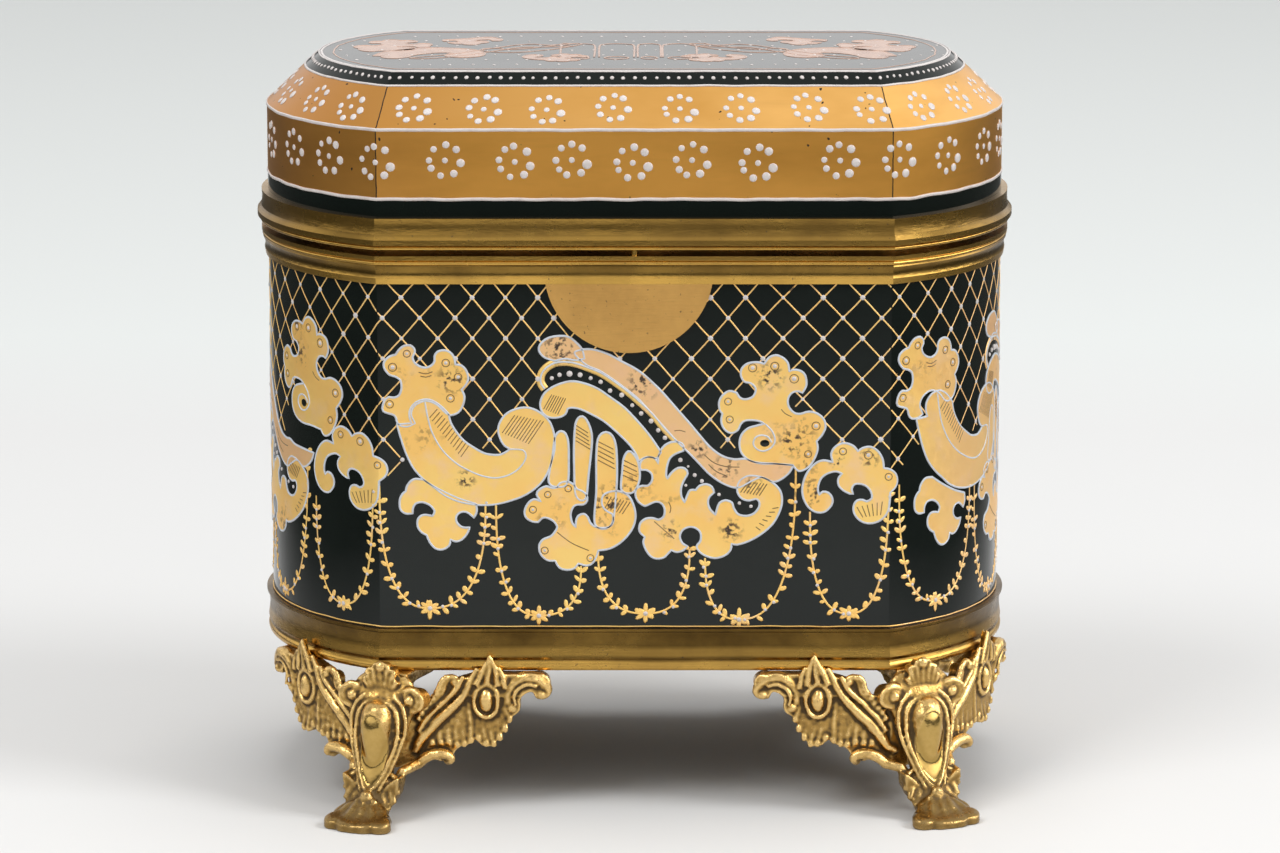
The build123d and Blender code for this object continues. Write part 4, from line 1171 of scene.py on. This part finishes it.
class CASKET_OT_top_ornament(bpy.types.Operator):
    """Flutes, scrolls and leaves of the lid's top, inside a white border"""

    bl_idname = "casket.top_ornament"
    bl_label = "Top ornament"

    def execute(self, context):
        width = sizes().border_line / MM * 0.8
        border = laid(TOP_BORDER, draw_lines, wavering(0.4, 0.1, 6.0), width, 0.07)
        inner = laid(TOP_BORDER, draw_lines, wavering(2.6, 0.25, 7.0), 0.35, 0.05)
        gilding = bmesh.new()
        for points, centre, place, scale, plated in TOP_MOTIFS:
            for hand in (-1, 1):
                outline = [Vector((hand * (place[0] + scale * (x - centre[0])),
                                   place[1] + scale * (y - centre[1]))) for x, y in smooth(points, True)]
                if plated:
                    draw_plates(gilding, outline, 0.03, ((0.0, 0.0),), 200.0)
                draw_lines(gilding, [(outline, True)], TOP_LINE, TOP_HEIGHT)
        for middle, half in TOP_ARCHES:
            arch = [(middle - half, -9.0), (middle - half, 5.5), (middle - half * 0.7, 8.0), (middle, 8.8),
                    (middle + half * 0.7, 8.0), (middle + half, 5.5), (middle + half, -9.0)]
            heel = ring(middle, -10.0, half * 0.7, 1.6, 16)
            draw_lines(gilding, [(smooth(arch, False), False), (heel, True)], 0.45, TOP_HEIGHT)
        hand = random.Random(TOP_SEED)
        places = []
        for row in range(-3, 4):
            for number in range(-14, 15):
                x = 3.9 * (number + row % 2 / 2) + hand.uniform(-0.4, 0.4)
                y = 6.2 * row + hand.uniform(-0.5, 0.5)
                if hypot(max(0.0, abs(x) - 22.0) * 0.62, y) < 22.5:
                    places.append(dot(x, y, hand.uniform(0.4, 0.75), 0.2))
        stamp(border, baked(laid(Top(), draw_dots, places)))
        wrap(gilding, Top())
        stamp(gilding, baked(inner))
        new_piece("top_gilding", gilding, "copper_lustre", "lid")
        new_piece("top_enamel", border, "white_enamel", "lid")
        return {"FINISHED"}


# ---------------------------------------------------------------- the body's decoration

FOOT_LINE_LEVEL = 34.6
FOOT_LINE_WIDTH = 0.28
CHANNEL_WIDTH = 1.5
LINE_HEIGHT = 0.15


class CASKET_OT_frieze(bpy.types.Operator):
    """Gilt motifs with their white outlines, dots and hatching, four times round the body"""

    bl_idname = "casket.frieze"
    bl_label = "Frieze"

    def execute(self, context):
        thickness = sizes().gilding / MM
        width = sizes().enamel_line / MM
        plates, outlines, rubbed = bmesh.new(), bmesh.new(), bmesh.new()
        for order, (name, points) in enumerate(MOTIFS):
            outline = smooth(points, True)
            shifts = shifts_of(name)
            layer = rubbed if name in RUBBED else plates
            draw_plates(layer, outline, thickness * (1.0 + 0.05 * order), shifts)
            draw_lines(outlines, [(outline, True)], width, LINE_HEIGHT, shifts)
        everywhere = shifts_of("")
        for name, line in (("horn", HORN_RIDGE), ("spiral_leaf", SPIRAL_LINE), ("scroll_bar", CHANNEL)):
            draw_lines(outlines, [(smooth(line, False), False)], width * 0.8, LINE_HEIGHT, shifts_of(name),
                       0.06)
        draw_lines(plates, [(smooth(CHANNEL, False), False)], CHANNEL_WIDTH, 0.06, everywhere)
        draw_lines(plates, wavering(FOOT_LINE_LEVEL, 0.15, 9.0), FOOT_LINE_WIDTH, 0.1)
        new_piece("frieze_gilding", wrap(plates, WALL), "fired_gilding", "case")
        new_piece("frieze_rubbed_gilding", wrap(rubbed, WALL), "rubbed_gilding", "case")
        new_piece("frieze_outlines", wrap(outlines, WALL), "outline_enamel", "case")

        # Dots, and round those on the lobes a scratched ring
        strokes = {}
        places = [dot(along + shift[0], up + shift[1], size)
                  for shift in everywhere for along, up, size in CHANNEL_DOTS]
        for name, spots in LOBE_DOTS.items():
            for along, up, size in spots:
                places += [dot(along + shift[0], up + shift[1], size * 1.1) for shift in shifts_of(name)]
                radius = size / 2 + 0.35
                strokes.setdefault(name, []).append((ring(along, up, radius, radius, 12), True))
        new_piece("frieze_dots", laid(WALL, draw_dots, places), "white_enamel", "case")

        for name, line in ETCHED_LINES:
            strokes.setdefault(name, []).append((smooth(line, False), False))
        for name, first, first_end, last, last_end, count in HATCHING:
            for index in range(count):
                share = index / (count - 1)
                start = Vector(first).lerp(Vector(last), share)
                end = Vector(first_end).lerp(Vector(last_end), share)
                strokes.setdefault(name, []).append((smooth([start, end], False, 0.8), False))
        hatching = bmesh.new()
        for name, lines in strokes.items():
            draw_lines(hatching, lines, sizes().etched_line / MM, 0.02, shifts_of(name), thickness * 1.75)
        along, up, long, wide = EYE
        eyes = [leaf(along + shift[0], up + shift[1], 0.0, long, wide, 0.15)
                for shift in shifts_of("spiral_leaf")]
        new_piece("frieze_eyes", laid(WALL, draw_dots, eyes, 16, 6), BODY_GLASS, "case")
        new_piece("frieze_hatching", wrap(hatching, WALL), "etched_glass", "case")
        return {"FINISHED"}


class CASKET_OT_lattice(bpy.types.Operator):
    """Gilt lattice with a dot on each crossing"""

    bl_idname = "casket.lattice"
    bl_label = "Lattice"

    def execute(self, context):
        pitch = LAP / LATTICE_COLUMNS
        hand = random.Random(LATTICE_SEED)
        lines, places = [], []
        outlines = motif_outlines()
        for column in range(LATTICE_COLUMNS):
            for side in (-1, 1):
                run = []
                for step in range(LATTICE_STEPS):
                    level = LATTICE_TOP - LATTICE_STEP * step
                    lean = side * (LATTICE_LEVEL - level) * pitch / LATTICE_RISE
                    along = drifting((column + 0.5) * pitch + lean)
                    if level > lattice_floor(along):
                        waver = noise.noise(Vector((column, side, step * 0.3)))
                        run.append((along, level + 0.15 * waver))
                    else:
                        if len(run) > 1:
                            lines.append((run, False))
                        run = []
            for row in LATTICE_ROWS:
                level = LATTICE_LEVEL - row * LATTICE_RISE / 2
                along = drifting((column + 0.5 + row % 2 / 2) * pitch)
                bare = not covered(outlines, along, level)
                if lattice_floor(along) + 0.5 < level < LATTICE_TOP and bare:
                    size = sizes().lattice_dot / MM * hand.uniform(0.8, 1.25)
                    places.append(dot(along, level, size, 0.15))
        new_piece("body_lattice", laid(WALL, draw_lines, lines, sizes().lattice_line / MM, 0.05),
                  "lattice_gilding", "case")
        new_piece("lattice_dots", laid(WALL, draw_dots, places), "white_enamel", "case")
        return {"FINISHED"}


class CASKET_OT_garlands(bpy.types.Operator):
    """Gilt garlands of small leaves and flowers with white dots, hung round the foot of the body"""

    bl_idname = "casket.garlands"
    bl_label = "Garlands"

    def execute(self, context):
        hand = random.Random(GARLAND_SEED)
        stems, leaves, dots = [], [], []
        for left, low, right in GARLANDS:
            stem = garland(left, low, right)
            stems.append((stem, False))
            gone = 0.0
            for start, end in zip(stem, stem[1:]):
                gone += (end - start).length
                if gone < LEAF_PITCH:
                    continue
                gone = 0.0
                turn = atan2(end.y - start.y, end.x - start.x) + (0.0 if end.x > low[0] else pi)
                for side in (-1, 1):
                    if hand.random() < 0.88:
                        leaves.append(leaf(end.x, end.y, turn + side * hand.uniform(0.7, 1.4),
                                           hand.uniform(1.1, 1.7), hand.uniform(0.7, 1.0)))
                if hand.random() < 0.5:
                    dots.append(dot(end.x + hand.uniform(-0.3, 0.3), end.y + hand.uniform(-0.3, 0.3), 0.7))
            for petal in range(FLOWER_PETALS):
                leaves.append(leaf(*low, 2 * pi * petal / FLOWER_PETALS + 0.5, hand.uniform(1.5, 2.3), 0.9))
            dots.append(dot(*low, 0.95))
        shifts = shifts_of("garlands")
        moves = [Matrix.Translation((along, up, 0.0)) for along, up in shifts]
        gilding = bmesh.new()
        draw_lines(gilding, stems, 0.4, 0.07, shifts)
        draw_dots(gilding, [move @ place for move in moves for place in leaves], 8, 4)
        enamel = laid(WALL, draw_dots, [move @ place for move in moves for place in dots])
        new_piece("garlands", wrap(gilding, WALL), "fired_gilding", "case")
        new_piece("garland_dots", enamel, "white_enamel", "case")
        return {"FINISHED"}


# ---------------------------------------------------------------- the cast feet

# Middle of each front foot from the corner between flat and bow, positive round the bow
STATIONS = {"left": -1.8, "right": 5.5}
SPLAY = radians(23.5)

# Sections of the leg: height, how far out its middle stands, half its width and thickness
LEG = ((26.1, 1.7, 4.2, 1.5), (22.0, 2.9, 6.4, 2.3), (15.5, 4.2, 5.0, 2.8), (9.0, 6.0, 3.3, 2.5),
       (5.0, 7.8, 3.0, 2.5), (2.0, 9.6, 4.4, 3.2), (0.0, 10.5, 5.0, 3.6))

# Relief of a wing: strokes of (distance from the middle of the foot, height, radius)
RIB = ((4.4, 11.5, 0.7), (5.6, 14.0, 1.0), (8.2, 17.2, 1.05), (11.0, 19.8, 0.95), (13.2, 22.2, 0.8),
       (14.6, 25.0, 0.65), (15.9, 27.4, 0.4))
RIB_EDGE = ((5.0, 15.6, 0.5), (7.2, 18.7, 0.55), (9.9, 21.3, 0.5), (12.0, 23.5, 0.5), (13.3, 26.0, 0.4))
LEAF_EDGE = ((5.4, 17.4, 0.7), (6.6, 19.4, 0.75), (8.0, 21.2, 0.8), (9.3, 23.0, 0.8), (9.9, 24.6, 0.75),
             (10.9, 25.6, 0.7), (12.1, 25.3, 0.6), (12.3, 24.3, 0.5), (11.5, 24.0, 0.4))
END_SCROLL = ((22.4, 19.9, 0.55), (21.6, 20.9, 0.75), (21.7, 22.7, 1.0), (22.7, 24.4, 1.2),
              (24.6, 25.4, 1.35), (26.7, 25.2, 1.3), (28.3, 24.1, 1.0), (28.7, 22.8, 0.8),
              (27.9, 22.0, 0.65), (27.2, 22.4, 0.5))
END_EDGE = ((22.9, 20.4, 0.35), (22.6, 22.2, 0.35), (23.5, 23.7, 0.35), (25.2, 24.4, 0.35), (26.8, 24.0, 0.3))
LOW_SCROLL = ((2.6, 4.4, 0.7), (3.6, 6.9, 0.9), (4.8, 9.2, 1.0), (6.4, 10.8, 1.05), (8.3, 11.5, 1.05),
              (10.1, 11.4, 1.0), (11.0, 10.6, 0.9), (10.6, 9.8, 0.6))
LEAF_TIP = (((15.6, 24.2, 0.6), (16.9, 26.9, 0.55), (18.0, 29.2, 0.35)),
            ((17.6, 24.6, 0.6), (18.0, 27.4, 0.55), (18.2, 29.9, 0.35)),
            ((19.5, 24.0, 0.6), (19.2, 26.8, 0.55), (18.5, 29.3, 0.35)),
            ((20.9, 23.6, 0.5), (20.6, 25.6, 0.5), (19.8, 27.6, 0.3)))
FEATHERS = (((7.4, 15.6), (7.6, 12.9)), ((8.9, 16.8), (9.2, 13.0)), ((10.3, 18.0), (10.7, 13.1)),
            ((11.7, 19.0), (12.1, 12.6)), ((13.0, 20.4), (13.4, 12.8)), ((14.3, 22.4), (14.7, 13.5)),
            ((15.3, 19.0), (16.1, 13.9)), ((16.5, 17.8), (17.5, 12.9)), ((17.8, 17.6), (18.8, 12.8)),
            ((19.1, 17.9), (20.0, 14.0)), ((20.1, 19.2), (21.0, 15.6)), ((20.7, 21.5), (21.7, 17.4)))
BOSS = (17.5, 21.2)

# Knobs of a wing: distance from the middle of the foot, height, how far out, radius and how tall for it
WING_KNOBS = ((*BOSS, 2.3, 1.25, 1.7), (22.3, 19.9, 2.0, 0.95, 1.0), (27.6, 22.3, 2.0, 0.95, 1.0),
              (10.6, 10.3, 2.6, 1.1, 1.0), (11.9, 24.8, 2.4, 0.85, 1.0))

# Relief of the leg: strokes of (across, height, radius), laid on its front
SHIELD = ((0.0, 21.9, 0.45), (1.9, 21.6, 0.5), (3.5, 20.2, 0.55), (4.2, 17.8, 0.55), (4.1, 14.8, 0.55),
          (3.3, 11.6, 0.5), (2.2, 8.7, 0.5), (1.0, 6.7, 0.5), (0.0, 6.2, 0.5))
OUTER_SHIELD = ((2.9, 22.8, 0.6), (4.8, 21.0, 0.7), (5.5, 18.4, 0.75), (5.2, 15.2, 0.75), (4.2, 11.8, 0.7),
                (3.0, 8.6, 0.6), (1.9, 6.0, 0.5))
SHOULDER = ((3.8, 20.2, 0.5), (5.4, 19.9, 0.7), (7.0, 20.9, 0.85), (7.5, 22.5, 0.9), (6.5, 23.9, 0.85),
            (4.9, 23.8, 0.7), (4.5, 22.6, 0.6), (5.4, 21.9, 0.55))
PALMETTE_FLUTES = (((0.0, 22.2), (0.0, 27.7)), ((0.7, 22.3), (1.35, 27.4)), ((1.3, 22.6), (2.5, 26.6)),
                   ((1.7, 23.0), (3.2, 25.5)))
ANKLE = (((1.6, 7.6, 0.5), (2.6, 5.2, 0.7), (4.3, 3.0, 0.6)),
         ((2.2, 8.2, 0.5), (3.7, 6.4, 0.8), (4.9, 4.0, 0.6)),
         ((2.9, 8.9, 0.4), (4.7, 7.8, 0.6), (5.5, 5.6, 0.4)))
KNOBS = ((0.0, 5.0, 1.3), (1.5, 4.4, 0.8), (-1.5, 4.4, 0.8), (0.8, 3.4, 0.7), (-0.8, 3.4, 0.7))

# Relief of the paw: strokes of (across, out, height, radius) from the ankle to the rim of the paw
FOLDS = (((-1.6, 9.6, 3.8, 1.1), (-3.4, 11.4, 2.9, 1.3), (-5.2, 12.6, 1.3, 1.2)),
         ((-0.8, 10.0, 4.0, 1.1), (-2.2, 13.0, 3.0, 1.4), (-3.4, 15.6, 1.3, 1.2)),
         ((0.0, 10.2, 4.1, 1.1), (-0.2, 13.6, 3.1, 1.3), (-0.8, 16.2, 1.3, 1.2)),
         ((0.9, 10.0, 4.0, 1.1), (1.8, 13.2, 3.1, 1.4), (2.3, 15.9, 1.3, 1.2)),
         ((1.7, 9.6, 3.8, 1.1), (3.6, 11.8, 2.9, 1.4), (4.9, 14.2, 1.3, 1.2)))
HEEL_CURL = ((5.3, 12.7, 1.4, 0.9), (5.6, 10.9, 2.2, 0.9), (4.5, 9.6, 2.9, 0.8), (3.3, 10.1, 3.4, 0.7),
             (3.4, 11.2, 3.4, 0.6))

# The cabochon: height of its middle, half its width and half its height
CABOCHON = (13.4, 2.9, 7.0)

# Depth of a full recess, and the height up to which the paw is smoothed more
RECESS_DEPTH = 0.24
PAW_TOP = 4.2


class Foot:
    """Places on a front foot, in millimetres."""

    def __init__(self, side):
        self.hand = -1 if side == "left" else 1
        self.station = STATIONS[side]
        point, _ = plan_point(FLAT_HALF_LENGTH + self.station)
        self.root = Vector((point.x, point.y, 0.0))

    def turned(self, point):
        """A point of the right foot's side, mirrored for a left foot."""
        return Vector((self.hand * point.x, point.y, point.z))

    def wing(self, reach, height, out, bow):
        """Point on the wing round the bow, or on the one along the flat."""
        if bow:
            along = FLAT_HALF_LENGTH + self.station + reach * 1.02
        else:
            x = self.root.x - reach
            lean = max(-1.0, min(1.0, (x - BOW_CENTRE) / BOW_RADIUS))
            along = x if x < FLAT_HALF_LENGTH else FLAT_HALF_LENGTH + BOW_RADIUS * (BOW_ANGLE - acos(lean))
        point, normal = plan_point(along)
        return self.turned(Vector((point.x + normal.x * out, point.y + normal.y * out, height)))

    def leg(self, across, out, height):
        """Point across the leg, out from the glass and above the floor."""
        return self.turned(self.root + Vector((across * cos(SPLAY) + out * sin(SPLAY),
                                               across * sin(SPLAY) - out * cos(SPLAY), height)))

    def shin(self, across, height):
        """Point of the leg's front, by its height and how far across it lies."""
        for (top, *upper), (low, *lower) in zip(LEG, LEG[1:]):
            if low <= height <= top:
                share = (top - height) / (top - low)
                middle, half_width, half_thickness = (a + (b - a) * share for a, b in zip(upper, lower))
                break
        else:
            middle, half_width, half_thickness = LEG[0][1:]
        lean = min(0.98, abs(across) / (half_width * 1.25))
        return self.leg(across, middle + half_thickness * sqrt(1 - lean**2), height)

    def spread(self, point):
        """How far across the leg and out from the glass a point lies."""
        place = self.turned(point) - self.root
        return (place.x * cos(SPLAY) + place.y * sin(SPLAY), place.x * sin(SPLAY) - place.y * cos(SPLAY))

    def burnished(self, point):
        """How far a point of the casting lies on the cabochon, from 0 at its edge to 1."""
        across, out = self.spread(point)
        middle, half_width, half_height = CABOCHON
        edge = hypot(across / half_width, (point.z - middle) / half_height)
        return clamp((1.0 - edge) * 9) if out > 4.0 else 0.0

    def modelled(self, point):
        """A point of the casting as the modeller's hand left it: uneven, and the paw thin at its toes."""
        uneven = 0.16 * noise.noise(point * 0.4) + 0.05 * noise.noise(point * 1.1)
        uneven *= 1 - self.burnished(point)
        moved = point + Vector((uneven, uneven, 0.0)) * min(1.0, point.z / 3)
        _, out = self.spread(point)
        thin = clamp((out - 8.5) / 9) * clamp((6.0 - point.z) / 2)
        moved.z *= 1 - 0.6 * thin
        return moved


def laid_stroke(line, place, share=1.0):
    """A stroke drawn smoothly and taken to space by place, its radii times a share."""
    return [(*place(*spot), radius * share) for *spot, radius in rounded(line)]


def relief_strokes(foot):
    """All the strokes of one foot's relief."""
    strokes = []
    for bow in (False, True):
        lines = [(RIB, 2.3), (RIB_EDGE, 2.9), (LEAF_EDGE, 2.3), (END_SCROLL, 1.9), (END_EDGE, 3.0)]
        for number, ((reach, height), (low_reach, low)) in enumerate(FEATHERS):
            middle = ((reach + low_reach) / 2, (height + low) / 2, 0.55 if number % 2 else 0.42)
            feather = ((reach, height, 0.25), middle, (low_reach, low, 0.55))
            lines.append((feather, 1.75 + 0.08 * (number % 3)))
        lines += [(tip, 2.6) for tip in LEAF_TIP]
        strokes += [laid_stroke(line, lambda reach, height: foot.wing(reach, height, out, bow))
                    for line, out in lines]
        rim = ring(*BOSS, 2.2, 3.1, 20)
        strokes.append([(*foot.wing(*spot, 2.5, bow), 0.42) for spot in [*rim, rim[0]]])
    for hand in (-1, 1):
        def low_scroll(across, height):
            if height < 9.5:
                return foot.leg(hand * (across + 0.2), 5.2 + 0.24 * (10.0 - height), height)
            return foot.wing(across, height, 3.4, hand > 0)

        strokes.append(laid_stroke(LOW_SCROLL, low_scroll))
        for line, share in ((SHIELD, 0.72), (OUTER_SHIELD, 0.5)):
            strokes.append(laid_stroke(line, lambda a, h: foot.shin(hand * a, h), share))
        strokes.append(laid_stroke(SHOULDER, lambda a, h: foot.leg(hand * a, 3.6, h)))
        for (a, h), (end_a, end_h) in PALMETTE_FLUTES:
            strokes.append([(*foot.leg(hand * a, 3.9, h), 0.4), (*foot.leg(hand * end_a, 3.9, end_h), 0.6)])
        for line in ANKLE:
            strokes.append(laid_stroke(line, lambda a, h: foot.leg(hand * a, 7.2 + 0.5 * (8.0 - h), h)))
    strokes += [laid_stroke(line, foot.leg) for line in (*FOLDS, HEEL_CURL)]
    return strokes


def relief_knobs(foot):
    """Knobs, bosses and the ropes of beads of one foot: places of unit balls."""
    knobs = []
    for bow in (False, True):
        knobs += [(foot.wing(reach, height, out, bow), radius, tall)
                  for reach, height, out, radius, tall in WING_KNOBS]
        knobs += [(foot.wing(reach - 0.5, height + 0.3, 2.7, bow), radius * 0.8, 1.0)
                  for reach, height, radius in rounded(LEAF_EDGE[:6])[1::2]]
        knobs += [(foot.wing(reach, height + 0.3, 2.0, bow), 0.6, 1.4) for _, (reach, height) in FEATHERS]
    knobs += [(foot.shin(a, h), radius, 1.0) for a, h, radius in KNOBS]
    knobs.append((foot.leg(0.0, 3.8, 28.0), 1.1, 1.0))
    knobs += [(foot.leg(hand * 5.8, 4.2, 22.2), 1.0, 1.0) for hand in (-1, 1)]
    return [Matrix.Translation(point) @ Matrix.Diagonal((radius, radius, radius * tall, 1.0))
            for point, radius, tall in knobs]


def relax(bm, verts, times, factor=0.6):
    """Smooth some of a mesh's points."""
    for _ in range(times):
        bmesh.ops.smooth_vert(bm, verts=verts, factor=factor, use_axis_x=True, use_axis_y=True,
                              use_axis_z=True)


def cast(foot, node):
    """A front foot with its relief, in millimetres, with how recessed and burnished it is at each point."""
    bm = bmesh.new()
    bm.from_mesh(NODES[node].data)
    bmesh.ops.scale(bm, vec=(1 / MM, 1 / MM, 1 / MM), verts=bm.verts)
    bmesh.ops.remove_doubles(bm, verts=bm.verts, dist=0.004)
    draw_strokes(bm, relief_strokes(foot))
    draw_dots(bm, relief_knobs(foot), 16, 10)
    rough = baked(bm, "rough")

    def remesh(holder):
        modifier = holder.modifiers.new("cast", "REMESH")
        modifier.mode = "VOXEL"
        modifier.voxel_size = sizes().casting_grain / MM

    mesh = evaluated(rough, remesh)
    bpy.data.meshes.remove(rough)
    bm = bmesh.new()
    bm.from_mesh(mesh)
    relax(bm, bm.verts, 2, 0.5)
    for vert in bm.verts:
        vert.co = foot.modelled(vert.co)
    relax(bm, [vert for vert in bm.verts if vert.co.z < PAW_TOP], 10)
    relax(bm, [vert for vert in bm.verts if foot.burnished(vert.co) > 0.6], 16)

    # A point is recessed as far as it lies below the smoothed surface
    fine = [vert.co.copy() for vert in bm.verts]
    relax(bm, bm.verts, 8)
    bm.normal_update()
    recess = bm.verts.layers.float.new("recess")
    burnish = bm.verts.layers.float.new("burnish")
    for vert, place in zip(bm.verts, fine):
        vert[recess] = clamp(0.5 + (vert.co - place).dot(vert.normal) / RECESS_DEPTH)
        vert[burnish] = foot.burnished(place)
        vert.co = place
    bm.to_mesh(mesh)
    bm.free()
    return mesh


class CASKET_OT_feet(bpy.types.Operator):
    """Cast feet with their relief: feathers, scrolls, bosses, shield, palmette and folded paws"""

    bl_idname = "casket.feet"
    bl_label = "Cast feet"

    def execute(self, context):
        for side in STATIONS:
            mesh = cast(Foot(side), f"foot_front_{side}")
            for end in ("front", "back"):
                bm = bmesh.new()
                bm.from_mesh(mesh)
                if end == "back":
                    bmesh.ops.scale(bm, vec=(1.0, -1.0, 1.0), verts=bm.verts)
                    bmesh.ops.reverse_faces(bm, faces=bm.faces)
                piece = new_piece(f"casting_{end}_{side}", bm, "cast_bronze_paint", "case")
                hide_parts(f"foot_{end}_{side}")
            bpy.data.meshes.remove(mesh)
        return {"FINISHED"}


# ---------------------------------------------------------------- running it

OPERATORS = (CASKET_OT_stage, CASKET_OT_finishes, CASKET_OT_lid_enamel, CASKET_OT_frieze, CASKET_OT_lattice,
             CASKET_OT_garlands, CASKET_OT_top_ornament, CASKET_OT_feet)


class CASKET_PT_panel(bpy.types.Panel):
    """The casket's sizes, colours and pieces"""

    bl_idname = "CASKET_PT_panel"
    bl_label = "Glass casket"
    bl_space_type = "VIEW_3D"
    bl_region_type = "UI"
    bl_category = "Casket"

    def draw(self, context):
        for group in (context.scene.casket_sizes, context.scene.casket_colours):
            for name in group.__annotations__:
                self.layout.prop(group, name)
        for operator in OPERATORS:
            self.layout.operator(operator.bl_idname)


CLASSES = (CasketSizes, CasketColours, *OPERATORS, CASKET_PT_panel)


def register():
    for item in CLASSES:
        bpy.utils.register_class(item)
    bpy.types.Scene.casket_sizes = PointerProperty(type=CasketSizes)
    bpy.types.Scene.casket_colours = PointerProperty(type=CasketColours)


def unregister():
    del bpy.types.Scene.casket_colours
    del bpy.types.Scene.casket_sizes
    for item in reversed(CLASSES):
        bpy.utils.unregister_class(item)


def main():
    register()
    for operator in OPERATORS:
        group, name = operator.bl_idname.split(".")
        getattr(getattr(bpy.ops, group), name)()


if __name__ == "__main__":
    main()
